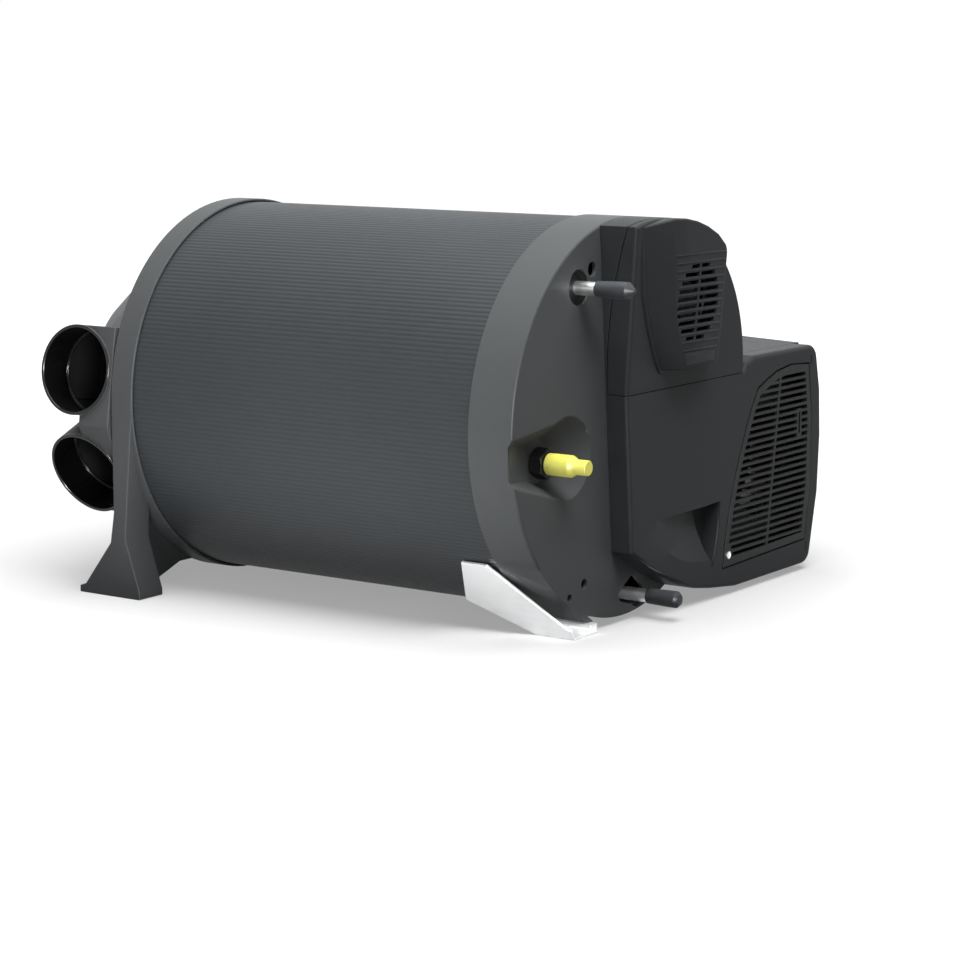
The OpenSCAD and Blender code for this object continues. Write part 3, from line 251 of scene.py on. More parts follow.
@dataclass(frozen=True)
class Finish:
    """One surface finish and the numbers of its node material."""

    name: str
    slot: str
    colour: tuple[float, float, float]
    family: Family = Family.MOULDED
    roughness: float = 0.5
    metallic: float = 0.0
    coat: float = 0.0
    specular: float = 0.5
    grain: float = 1400.0
    bump: float = 0.08
    mottle: float = 0.05
    # An attribute whose value darkens the colour as painted shade, down to the factor below where it is 1.
    attribute: str = ""
    attribute_painted_shade: float = 0.6

    def build(self, effects: Effects) -> bpy.types.Material:
        """Makes the node material.

        Args:
            effects: The shared node groups.

        Returns:
            The material.
        """
        material = bpy.data.materials.new(self.name)
        material.use_nodes = True
        tree = material.node_tree
        shader = tree.nodes["Principled BSDF"]
        shader.inputs["Metallic"].default_value = self.metallic
        shader.inputs["Coat Weight"].default_value = self.coat
        shader.inputs["Coat Roughness"].default_value = COAT_ROUGHNESS
        shader.inputs["Specular IOR Level"].default_value = self.specular
        mottle = add(tree, "ShaderNodeGroup", node_tree=effects.mottle)
        mottle.inputs["Amount"].default_value = self.mottle
        shade = mottle.outputs["Shade"]
        if self.family is Family.METAL:
            lines = add(tree, "ShaderNodeGroup", node_tree=effects.brush)
            lines.inputs["Scale"].default_value = self.grain
            height, speck = lines.outputs["Lines"], lines.outputs["Lines"]
        else:
            grain = add(tree, "ShaderNodeGroup", node_tree=effects.grain)
            grain.inputs["Scale"].default_value = self.grain
            height, speck = grain.outputs["Height"], grain.outputs["Speck"]
        fleck = math_node(tree, "ADD", math_node(tree, "MULTIPLY", speck, FLECK), 1 - FLECK / 2)
        shade = math_node(tree, "MULTIPLY", shade, fleck)
        # Painted shade: the colour darkens where the attribute is high, which is in the jacket's grooves.
        if self.attribute:
            groove = add(tree, "ShaderNodeAttribute", attribute_name=self.attribute)
            painted_shade_drop = math_node(tree, "MULTIPLY", groove.outputs["Fac"], self.attribute_painted_shade - 1.0)
            shade = math_node(tree, "MULTIPLY", shade, math_node(tree, "ADD", painted_shade_drop, 1.0))
        tint = add(tree, "ShaderNodeVectorMath", {0: self.colour}, operation="SCALE")
        tree.links.new(shade, tint.inputs["Scale"])
        tree.links.new(tint.outputs["Vector"], shader.inputs["Base Color"])
        gloss = math_node(tree, "MULTIPLY", mottle.outputs["Gloss"], GLOSS_SHIFT)
        least = self.roughness - (GLOSS_SHIFT + FLECK_ROUGH) / 2
        rough = math_node(tree, "ADD", math_node(tree, "MULTIPLY", speck, FLECK_ROUGH), least)
        tree.links.new(math_node(tree, "ADD", gloss, rough), shader.inputs["Roughness"])
        bump = add(tree, "ShaderNodeBump", {"Strength": self.bump, "Distance": BUMP_DEPTH})
        tree.links.new(height, bump.inputs["Height"])
        tree.links.new(bump.outputs["Normal"], shader.inputs["Normal"])
        return material


class Look(Enum):
    """Every finish on the heater."""

    HOUSING = Finish("housing_grey", "housing_grey", (0.072, 0.076, 0.078), roughness=0.42, specular=0.05)
    # The groove attribute darkens the colour to 0.85 at the bottom of each groove: painted shade.
    JACKET = Finish(
        "jacket_grey", "jacket_grey", (0.039, 0.043, 0.046), roughness=0.4, specular=0.12, grain=1800.0,
        bump=0.04, attribute="groove", attribute_painted_shade=0.85,
    )
    COVER = Finish("cover_grey", "cover_grey", (0.036, 0.0385, 0.0405), roughness=0.38, specular=0.03)
    GRILLE = Finish("grille_dark", "cover_grey", (0.017, 0.018, 0.019), roughness=0.45, specular=0.08)
    OUTLET = Finish(
        "outlet_black", "outlet_black", (0.004, 0.004, 0.004), roughness=0.2, specular=0.35, bump=0.02,
        mottle=0.03,
    )
    # Near-black colour inside hollows and holes: painted shade over the housing's grey.
    HOLLOW_PAINTED_SHADE = Finish("hollow_painted_shade", "housing_grey", (0.004, 0.004, 0.004), roughness=0.7, specular=0.1)
    PORT = Finish("port_black", "port_black", (0.006, 0.006, 0.006), roughness=0.45, specular=0.1)
    SEAL = Finish(
        "seal_rubber", "seal", (0.012, 0.012, 0.012), Family.RUBBER, roughness=0.7, specular=0.2, bump=0.15
    )
    FASTENER = Finish(
        "fastener_zinc", "fastener", (0.62, 0.62, 0.62), Family.METAL, roughness=0.32, metallic=1.0, bump=0.03
    )
    FOAM = Finish("foam_grey", "foam", (0.05, 0.05, 0.05), Family.FOAM, roughness=0.9, grain=500.0, bump=0.4)
    STAINLESS = Finish(
        "drawn_stainless", "stainless", (0.86, 0.86, 0.87), Family.METAL, roughness=0.3, metallic=1.0,
        bump=0.01,
    )
    CAST = Finish(
        "cast_aluminium", "cast_aluminium", (0.55, 0.55, 0.56), Family.RUBBER, roughness=0.5, metallic=1.0,
        grain=700.0, bump=0.2,
    )
    BRACKET = Finish(
        "bracket_aluminium", "bracket_aluminium", (0.92, 0.925, 0.93), Family.METAL, roughness=0.4,
        metallic=0.6, bump=0.03, mottle=0.03,
    )
    BRASS = Finish("turned_brass", "brass", (0.6, 0.45, 0.2), Family.METAL, roughness=0.3, metallic=1.0)
    VALVE = Finish(
        "valve_passivated", "valve_body", (0.42, 0.40, 0.33), Family.METAL, roughness=0.4, metallic=0.8
    )
    CERAMIC = Finish("glazed_ceramic", "ceramic", (0.8, 0.78, 0.72), roughness=0.2, coat=0.5, bump=0.02)
    CAP_GREY = Finish(
        "cap_soft_grey", "cap_grey", (0.047, 0.051, 0.056), roughness=0.42, specular=0.12, bump=0.05
    )
    CAP_YELLOW = Finish("cap_soft_yellow", "cap_yellow", (0.80, 0.765, 0.11), roughness=0.5, bump=0.05)
    MOTOR = Finish("motor_black", "motor", (0.014, 0.014, 0.014), roughness=0.45, specular=0.08)
    WHEEL = Finish("wheel_black", "wheel_plastic", (0.014, 0.014, 0.014), roughness=0.45, specular=0.1)
    SHAFT = Finish("ground_steel", "shaft_steel", (0.6, 0.6, 0.6), Family.METAL, roughness=0.25, metallic=1.0)
    BOARD = Finish("solder_mask", "board", (0.01, 0.08, 0.03), roughness=0.3, coat=0.3, bump=0.03)


class Paintbox:
    """Makes each finish's material once, when it is first asked for."""

    def __init__(self) -> None:
        """Builds the shared effects."""
        self.effects = Effects()
        self.made: dict[Look, bpy.types.Material] = {}

    def get(self, look: Look) -> bpy.types.Material:
        """Returns the material of a look."""
        if look not in self.made:
            self.made[look] = look.value.build(self.effects)
        return self.made[look]


PAINT = Paintbox()


# Mesh making

def to_part(points: np.ndarray) -> np.ndarray:
    """Returns points moved from the boiler's frame in millimetres to the part's frame in metres."""
    return (np.asarray(points, float) + ORIGIN) * MM


def grid_faces(rows: int, columns: int, wrap_rows: bool, wrap_columns: bool) -> np.ndarray:
    """Quads of a grid of points, where point (i, j) has the number i * columns + j.

    Args:
        rows: Points in the first direction.
        columns: Points in the second direction.
        wrap_rows: Joins the last row to the first.
        wrap_columns: Joins the last column to the first.

    Returns:
        Four point numbers for each quad.
    """
    i = np.arange(rows if wrap_rows else rows - 1)
    j = np.arange(columns if wrap_columns else columns - 1)
    a, b = np.meshgrid(i, j, indexing="ij")
    c, d = (a + 1) % rows, (b + 1) % columns
    return np.stack(
        [a * columns + b, c * columns + b, c * columns + d, a * columns + d], axis=-1
    ).reshape(-1, 4)


@dataclass
class Shell:
    """Points in millimetres and quads that make one mesh."""

    points: np.ndarray
    faces: np.ndarray

    @classmethod
    def grid(cls, points: np.ndarray, wrap_rows: bool = False, wrap_columns: bool = False) -> "Shell":
        """Makes a shell from a grid of points.

        Args:
            points: An array of rows by columns by 3.
            wrap_rows: Joins the last row to the first.
            wrap_columns: Joins the last column to the first.

        Returns:
            The shell.
        """
        rows, columns = points.shape[:2]
        return cls(points.reshape(-1, 3), grid_faces(rows, columns, wrap_rows, wrap_columns))

    @classmethod
    def joined(cls, shells: Iterable["Shell"]) -> "Shell":
        """Returns several shells as one."""
        shells = list(shells)
        starts = np.cumsum([0] + [len(s.points) for s in shells[:-1]])
        return cls(
            np.concatenate([s.points for s in shells]),
            np.concatenate([s.faces + n for s, n in zip(shells, starts)]),
        )


def round_corners(
    points: Sequence[Sequence[float]], radii, closed: bool = True, steps: int = 5
) -> np.ndarray:
    """Rounds a polyline's corners: each corner becomes an arc that touches both of its sides.

    Args:
        points: Corners in two dimensions.
        radii: One radius, or one for each corner.
        closed: Whether the last corner runs on to the first.
        steps: Pieces in each arc.

    Returns:
        The rounded polyline's points.
    """
    p = np.asarray(points, float)
    r = np.broadcast_to(np.asarray(radii, float), (len(p),)).copy()
    before, after = np.roll(p, 1, 0) - p, np.roll(p, -1, 0) - p
    la, lb = np.linalg.norm(before, axis=1), np.linalg.norm(after, axis=1)
    u, v = before / la[:, None], after / lb[:, None]
    half = np.arccos(np.clip((u * v).sum(1), -0.9999, 0.9999)) / 2
    cut = np.minimum(r / np.tan(half), 0.48 * np.minimum(la, lb))
    if not closed:
        cut[[0, -1]] = 0
    t = np.linspace(0, 1, steps + 1)[None, :, None]
    a, b = (p + u * cut[:, None])[:, None], (p + v * cut[:, None])[:, None]
    w = 2 * t * (1 - t) * np.sin(half)[:, None, None]
    arcs = ((1 - t) ** 2 * a + w * p[:, None] + t ** 2 * b) / ((1 - t) ** 2 + w + t ** 2)
    out = arcs.reshape(-1, 2)
    keep = np.linalg.norm(out - np.roll(out, 1, 0), axis=1) > 1e-6
    keep[0] = True
    return out[keep]


@dataclass(frozen=True)
class Axis:
    """A line that a turned piece goes round: a start, a direction and two directions across it."""

    start: tuple[float, float, float]
    along: tuple[float, float, float] = (1.0, 0.0, 0.0)

    def across(self) -> tuple[np.ndarray, np.ndarray]:
        """Returns two unit directions across the line, with along they make a right-handed set."""
        along = np.asarray(self.along, float)
        side = np.cross(along, (0.0, 0.0, 1.0) if abs(along[2]) < 0.9 else (1.0, 0.0, 0.0))
        side /= np.linalg.norm(side)
        return side, np.cross(along, side)

    def place(self, along: np.ndarray, radius: np.ndarray, angle: np.ndarray) -> np.ndarray:
        """Points at a distance along the line, a radius from it and an angle round it.

        Args:
            along: Distances along the line.
            radius: Distances from the line.
            angle: Angles round the line.

        Returns:
            Points in millimetres.
        """
        side, up = self.across()
        return (
            np.asarray(self.start, float)
            + along[..., None] * np.asarray(self.along, float)
            + (radius * np.cos(angle))[..., None] * side
            + (radius * np.sin(angle))[..., None] * up
        )


def turned(axis: Axis, profile: np.ndarray, segments: int = 72) -> Shell:
    """A closed profile carried round an axis.

    Args:
        axis: The axis.
        profile: Points of (distance along the axis, radius), clockwise seen with the radius up.
        segments: Steps round the axis.

    Returns:
        The shell.
    """
    angle = np.linspace(0, 2 * math.pi, segments, endpoint=False)
    p = np.asarray(profile, float)
    grid = axis.place(
        np.repeat(p[:, :1], segments, 1), np.repeat(p[:, 1:], segments, 1), np.repeat(angle[None], len(p), 0)
    )
    return Shell.grid(grid, wrap_rows=True, wrap_columns=True)


def face_outwards(mesh: bpy.types.Mesh) -> None:
    """Turns a closed mesh's faces so that they all point outwards."""
    shape = bmesh.new()
    shape.from_mesh(mesh)
    bmesh.ops.remove_doubles(shape, verts=shape.verts, dist=1e-7)
    bmesh.ops.recalc_face_normals(shape, faces=shape.faces)
    shape.to_mesh(mesh)
    shape.free()


def smooth(mesh: bpy.types.Mesh, angle: float) -> None:
    """Shades a mesh smooth, except across edges that turn by more than an angle in degrees."""
    mesh.polygons.foreach_set("use_smooth", np.ones(len(mesh.polygons), bool))
    mesh.set_sharp_from_angle(angle=math.radians(angle))


def loft(sections: np.ndarray) -> Shell:
    """Closed loops joined one after another, each end closed by a fan round the loop's middle.

    Args:
        sections: An array of loops by points by 3.

    Returns:
        The shell.
    """
    ends = [np.repeat(sections[i].mean(0)[None, None], sections.shape[1], 1) for i in (0, -1)]
    return Shell.grid(np.concatenate([ends[0], sections, ends[1]]), wrap_columns=True)


def finish_piece(piece: bpy.types.Object, look: Look, body: Body, nodes: Sequence[str]) -> bpy.types.Object:
    """Gives a piece its material and body, and hides the nodes that it stands for.

    Args:
        piece: The piece.
        look: Its finish.
        body: The body that it rides on.
        nodes: The nodes that it replaces, which may be none.

    Returns:
        The piece.
    """
    if not piece.data.materials:
        piece.data.materials.append(PAINT.get(look))
    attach(piece, body.value)
    if nodes:
        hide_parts(*nodes)
    LOG.info("%s: %d points, on %s", piece.name, len(piece.data.vertices), body.value)
    return piece


def new_piece(
    name: str,
    shell: Shell,
    look: Look,
    body: Body = Body.HEATER,
    nodes: Sequence[str] = (),
    angle: float = 35.0,
) -> bpy.types.Object:
    """Makes a piece from a shell.

    Args:
        name: The piece's name.
        shell: Its points and faces.
        look: Its finish.
        body: The body that it rides on.
        nodes: The nodes that it replaces.
        angle: Edges that turn by more than this many degrees stay sharp.

    Returns:
        The piece.
    """
    mesh = bpy.data.meshes.new(name)
    mesh.from_pydata(to_part(shell.points).tolist(), [], shell.faces.tolist())
    face_outwards(mesh)
    smooth(mesh, angle)
    piece = bpy.data.objects.new(name, mesh)
    bpy.context.scene.collection.objects.link(piece)
    return finish_piece(piece, look, body, nodes)


class Edges(Enum):
    """Which sharp edges a rule is for."""

    ALL = "all"
    FRONT = "front"


@dataclass(frozen=True)
class EdgeRule:
    """A round for the sharp edges whose middles lie in a box and outside a radius round the axis.

    A front edge lies between a face that looks forwards and one that looks sideways.
    """

    width: float
    edges: Edges = Edges.ALL
    low: tuple[float, float, float] = (-900.0, -900.0, -900.0)
    high: tuple[float, float, float] = (900.0, 900.0, 900.0)
    outside: float = 0.0

    def fits(self, middle: np.ndarray, front: np.ndarray) -> np.ndarray:
        """Tells which edges the rule is for.

        Args:
            middle: The edges' middles in the boiler's frame.
            front: Whether each edge is a front edge.

        Returns:
            A truth value for each edge.
        """
        inside = ((middle >= self.low) & (middle <= self.high)).all(1)
        radius = np.hypot(middle[:, 1], middle[:, 2] - AXIS_Z)
        return inside & (radius >= self.outside) & (front | (self.edges is Edges.ALL))


def lay_band(shape: bmesh.types.BMesh, x: float, width: float, rules: Sequence[EdgeRule]) -> None:
    """Lays an even strip inside a front face's outline, so that no wide round crosses long triangles.

    Where the rules give a round of less than half the strip's width, the outline is put back as it was.

    Args:
        shape: The piece's mesh.
        x: The face's X in the boiler's frame.
        width: The strip's width in millimetres.
        rules: The piece's rounds.
    """
    face = [
        f for f in shape.faces if f.normal.x > 0.999 and abs(f.verts[0].co.x / MM - ORIGIN[0] - x) < 0.05
    ]
    bmesh.ops.inset_region(shape, faces=face, thickness=width * MM, use_even_offset=True, use_boundary=True)
    inner = {v for f in face for v in f.verts}
    for corner in inner:
        for other in {e.other_vert(corner) for e in corner.link_edges} - inner:
            place = np.array([other.co]) / MM - ORIGIN
            rounds = [rule.width for rule in rules if rule.fits(place, np.ones(1, bool))[0]]
            if not rounds or rounds[-1] < width / 2:
                corner.co = other.co
    bmesh.ops.remove_doubles(shape, verts=shape.verts, dist=0.001 * MM)


def rounded_copy(
    node: str,
    look: Look,
    width: float,
    rules: Sequence[EdgeRule] = (),
    angle: float = 28.0,
    segments: int = 3,
    weld: float = 0.01,
    flat: float = 1500.0,
    band: tuple[float, float] = (0.0, 0.0),
    seated: bool = False,
) -> bpy.types.Object:
    """A merged copy of a node whose sharp outer corners are rounded.

    Args:
        node: The node.
        look: The copy's finish.
        width: Round of each sharp edge in millimetres.
        rules: Other rounds for some of the edges; the last that fits an edge holds.
        angle: Edges that turn by more than this many degrees are rounded.
        segments: Steps across a round.
        weld: Distance in millimetres under which points are merged.
        flat: Faces over this area in square millimetres are shaded flat.
        band: X of a front face and the width of an even strip inside its outline, if it has one.
        seated: Whether the edges at its back, where it seats against another piece, get a small round.

    Returns:
        The copy, which stands for the node.
    """
    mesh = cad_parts[node].data.copy()
    mesh.name = node + "_moulding"
    mesh.materials.clear()
    shape = bmesh.new()
    shape.from_mesh(mesh)
    bmesh.ops.remove_doubles(shape, verts=shape.verts, dist=weld * MM)
    bmesh.ops.dissolve_limit(
        shape, angle_limit=math.radians(0.4), verts=shape.verts, edges=shape.edges, delimit={"NORMAL"}
    )
    if band[1]:
        lay_band(shape, *band, rules)
    shape.to_mesh(mesh)
    middle = np.array([(e.verts[0].co + e.verts[1].co) / 2 for e in shape.edges]) / MM - ORIGIN
    turn = np.array([e.calc_face_angle(0.0) for e in shape.edges])
    facing = np.array([sorted(f.normal.x for f in e.link_faces[:2]) for e in shape.edges])
    broad = np.array([max(f.calc_area() for f in e.link_faces) for e in shape.edges]) > flat * MM ** 2
    convex = np.array([e.is_convex for e in shape.edges])
    front = (facing[:, 1] > 0.8) & (facing[:, 0] < 0.6)
    shape.free()
    rounds = np.full(len(turn), width)
    for rule in rules:
        rounds[rule.fits(middle, front)] = rule.width
    if seated:
        rounds[facing[:, 0] < -0.8] = SEAT_ROUND
    rounds[(turn < math.radians(angle)) | ~convex] = 0
    mesh.polygons.foreach_set("use_smooth", np.ones(len(mesh.polygons), bool))
    sharp = mesh.attributes.new("sharp_edge", "BOOLEAN", "EDGE")
    sharp.data.foreach_set("value", (turn > np.radians(np.where(broad, 1.5, angle))))
    widest = max(rounds.max(), 1e-6)
    weights = mesh.attributes.new("bevel_weight_edge", "FLOAT", "EDGE")
    weights.data.foreach_set("value", (rounds / widest).astype(np.float32))
    piece = bpy.data.objects.new(mesh.name, mesh)
    bpy.context.scene.collection.objects.link(piece)
    bevel = piece.modifiers.new("rounds", "BEVEL")
    bevel.limit_method = "WEIGHT"
    bevel.width = widest * MM
    bevel.segments = segments
    bevel.use_clamp_overlap = False
    bevel.harden_normals = True
    return finish_piece(piece, look, Body.HEATER, [node])


def dress(node: str, look: Look) -> None:
    """Gives a node that shows as it is its finish."""
    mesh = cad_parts[node].data
    mesh.materials.clear()
    mesh.materials.append(PAINT.get(look))


# Sub-assemblies

def screw_head(axis: Axis, radius: float, height: float) -> Shell:
    """A domed head with a cross recess.

    The head's height falls with the square of the radius.  The recess is where the smaller of the two
    distances across the head is under the arm's half width and the larger one is under its length.

    Args:
        axis: The screw's axis, from the seat outwards.
        radius: The head's radius.
        height: The head's height at its middle.

    Returns:
        The shell.
    """
    angle = np.linspace(0, 2 * math.pi, 64, endpoint=False)[None]
    r = radius * np.linspace(0.002, 1.0, 24)[:, None]
    u, v = np.abs(r * np.cos(angle)) / radius, np.abs(r * np.sin(angle)) / radius
    arm = np.clip((0.19 - np.minimum(u, v)) / 0.06, 0, 1) * np.clip((0.62 - np.maximum(u, v)) / 0.08, 0, 1)
    top = height * (1 - 0.35 * (r / radius) ** 2 - 0.55 * arm)
    flat = np.zeros_like(angle)
    along = np.concatenate([top, flat, flat])
    radii = np.concatenate([np.repeat(r, 64, 1), flat + radius, flat + 0.002 * radius])
    return Shell.grid(axis.place(along, radii, np.repeat(angle, len(along), 0)), True, True)


def plate(outline: np.ndarray, base: Callable[[np.ndarray], np.ndarray], height: float, edge: float) -> Shell:
    """A thin plate on a surface, drawn in at its top by a rounded edge.

    Args:
        outline: A convex loop of (Y, Z).
        base: Gives the surface's X at each point.
        height: How far the plate stands off the surface.
        edge: The round of its edge.

    Returns:
        The shell.
    """
    middle = outline.mean(0)
    reach = np.abs(outline - middle).max(0)
    rings = []
    for t in (0.0, 0.0, 0.35, 0.75, 1.0):
        ring = middle + (outline - middle) * (1 - edge * (1 - math.cos(t * math.pi / 2)) / reach)
        rise = -0.4 if not rings else (height - edge) + edge * math.sin(t * math.pi / 2)
        rings.append(np.column_stack([base(ring) + rise, ring]))
    return loft(np.array(rings))


@dataclass
class RibbedJacket:
    """The jacket with its fine ribs along the boiler."""

    start: float = JACKET_BACK
    end: float = 314.5
    outer_r: float = 145.5
    inner_r: float = 143.5
    ribs: int = 254
    steps: int = 8
    depth: float = 0.22

    def shell(self) -> tuple[Shell, np.ndarray]:
        """The wall: radius = outer - depth * valley, where valley is a raised cosine to the power 2.

        Returns:
            The shell, and how deep in a groove each point lies, from 0 to 1.
        """
        count = self.ribs * self.steps
        angle = np.linspace(0, 2 * math.pi, count, endpoint=False)
        valley = (0.5 + 0.5 * np.cos(self.ribs * angle)) ** 2
        ribbed = self.outer_r - self.depth * valley
        plain = np.full(count, self.inner_r)
        radius = np.stack([ribbed, ribbed, plain, plain])
        x = np.repeat(np.array([[self.start], [self.end], [self.end], [self.start]]), count, 1)
        axis = Axis((0.0, 0.0, AXIS_Z))
        grid = axis.place(x, radius, np.repeat(angle[None], 4, 0))
        return Shell.grid(grid, True, True), np.stack([valley, valley, 0 * valley, 0 * valley]).ravel()

    def build(self) -> None:
        """Makes the jacket, with the depth in its grooves as an attribute, which its finish turns into
        painted shade in the grooves.
        """
        shell, groove = self.shell()
        piece = new_piece("ribbed_jacket", shell, Look.JACKET, nodes=["jacket"], angle=60.0)
        attribute = piece.data.attributes.new("groove", "FLOAT", "POINT")
        attribute.data.foreach_set("value", groove.astype(np.float32))


@dataclass
class RearFrame:
    """The rear frame, the air distributor and the outlets."""

    outlet_x: float = -58.5
    reach: float = 148.0
    bore_r: float = 32.5
    sleeve_r: float = 33.5
    lip_r: float = 35.0
    lip: float = 1.0
    sleeve: float = 27.0
    screw_ring: float = 138.0
    screw_x: float = -25.5
    screw_turns: tuple[float, ...] = (0.0, 50.0, 145.0, 180.0, 215.0, 310.0)
    hollow_x: float = -22.0
    hollow_r: float = 34.6
    hollow_start: float = 40.0
    places: dict = field(
        default_factory=lambda: {
            "outlet_front_upper": (-1, 8.5),
            "outlet_front_lower": (-1, -24.0),
            "outlet_back_upper": (1, 8.5),
            "outlet_back_lower": (1, -24.0),
        }
    )

    def sleeve_shell(self, side: int, angle: float) -> Shell:
        """A sleeve: a thin tube with a rolled lip and a stop ring, carried round the outlet's axis."""
        a = math.radians(angle)
        axis = Axis((self.outlet_x, 0.0, AXIS_Z), (0.0, side * math.cos(a), math.sin(a)))
        foot, mouth, top = self.reach - self.sleeve, self.reach, self.reach + self.lip
        profile = round_corners(
            [
                (foot, self.bore_r - 1.2), (foot + 1.4, self.bore_r - 1.2), (foot + 1.4, self.bore_r),
                (top, self.bore_r), (top, self.lip_r), (mouth, self.lip_r), (mouth, self.sleeve_r),
                (foot, self.sleeve_r),
            ],
            [0.3, 0.3, 0.2, 0.9, 0.45, 0.3, 0.2, 0.2],
        )
        return turned(axis, profile, 96)

    def build(self) -> None:
        """Makes the frame's mouldings and the sleeves."""
        rounded_copy("rear_frame", Look.HOUSING, 1.0)
        copy = rounded_copy("air_distributor", Look.HOUSING, 0.8)
        # Painted shade: the distributor's inner faces turn near black.
        self.paint_hollow_shade(copy)
        for node, (side, angle) in self.places.items():
            new_piece(node + "_sleeve", self.sleeve_shell(side, angle), Look.OUTLET, nodes=[node])
        heads = [self.screw(math.radians(turn)) for turn in self.screw_turns]
        new_piece("flange_screw_heads", Shell.joined(heads), Look.FASTENER, nodes=["frame_screws"])
        dress("rear_seal", Look.SEAL)

    def screw(self, turn: float) -> Shell:
        """A flange screw's head at an angle from the top, seen from behind."""
        y, z = self.screw_ring * math.sin(turn), AXIS_Z + self.screw_ring * math.cos(turn)
        return screw_head(Axis((self.screw_x, y, z), (-1.0, 0.0, 0.0)), radius=3.4, height=2.2)

    def paint_hollow_shade(self, copy: bpy.types.Object) -> None:
        """Gives the faces inside the distributor, those that look towards its axis, a near-black colour:
        painted shade in the hollow.

        Args:
            copy: The distributor's copy.
        """
        mesh = copy.data
        mesh.materials.append(PAINT.get(Look.HOLLOW_PAINTED_SHADE))
        count = len(mesh.polygons)
        middle, normal = np.empty(count * 3), np.empty(count * 3)
        mesh.polygons.foreach_get("center", middle)
        mesh.polygons.foreach_get("normal", normal)
        middle = middle.reshape(-1, 3) / MM - ORIGIN - (0.0, 0.0, AXIS_Z)
        normal = normal.reshape(-1, 3)
        radial = np.hypot(middle[:, 1], middle[:, 2])
        inward = (middle[:, 1:] * normal[:, 1:]).sum(1) < -0.2 * radial
        hollow = inward & (middle[:, 0] < self.hollow_x)
        for side, angle in self.places.values():
            a = math.radians(angle)
            along = np.array([0.0, side * math.cos(a), math.sin(a)])
            rel = middle - (self.outlet_x, 0.0, 0.0)
            run = rel @ along
            across = rel - run[:, None] * along
            near = (np.linalg.norm(across, axis=1) < self.hollow_r) & (run > self.hollow_start)
            near &= run < self.reach - 0.5
            hollow |= near & ((across * normal).sum(1) < 0) & (np.abs(normal @ along) < 0.3)
        mesh.polygons.foreach_set("material_index", hollow.astype(np.int32))


@dataclass
class FrontCap:
    """The front cap and its bracket."""

    def build(self) -> None:
        """Makes the cap's and the bracket's copies."""
        rim = EdgeRule(2.2, Edges.FRONT, outside=RIM_IN)
        foot = EdgeRule(0.0, high=(900, 900, RIM_FOOT))
        rounded_copy("front_cap", Look.HOUSING, 0.7, [rim, foot], band=(FACE_X, 2.6), seated=True)
        rounded_copy("support_bracket", Look.BRACKET, 0.35)
        dress("cap_seal", Look.SEAL)
        dress("exhaust_stub", Look.STAINLESS)
        rounded_copy("air_intake_collar", Look.PORT, 0.5)


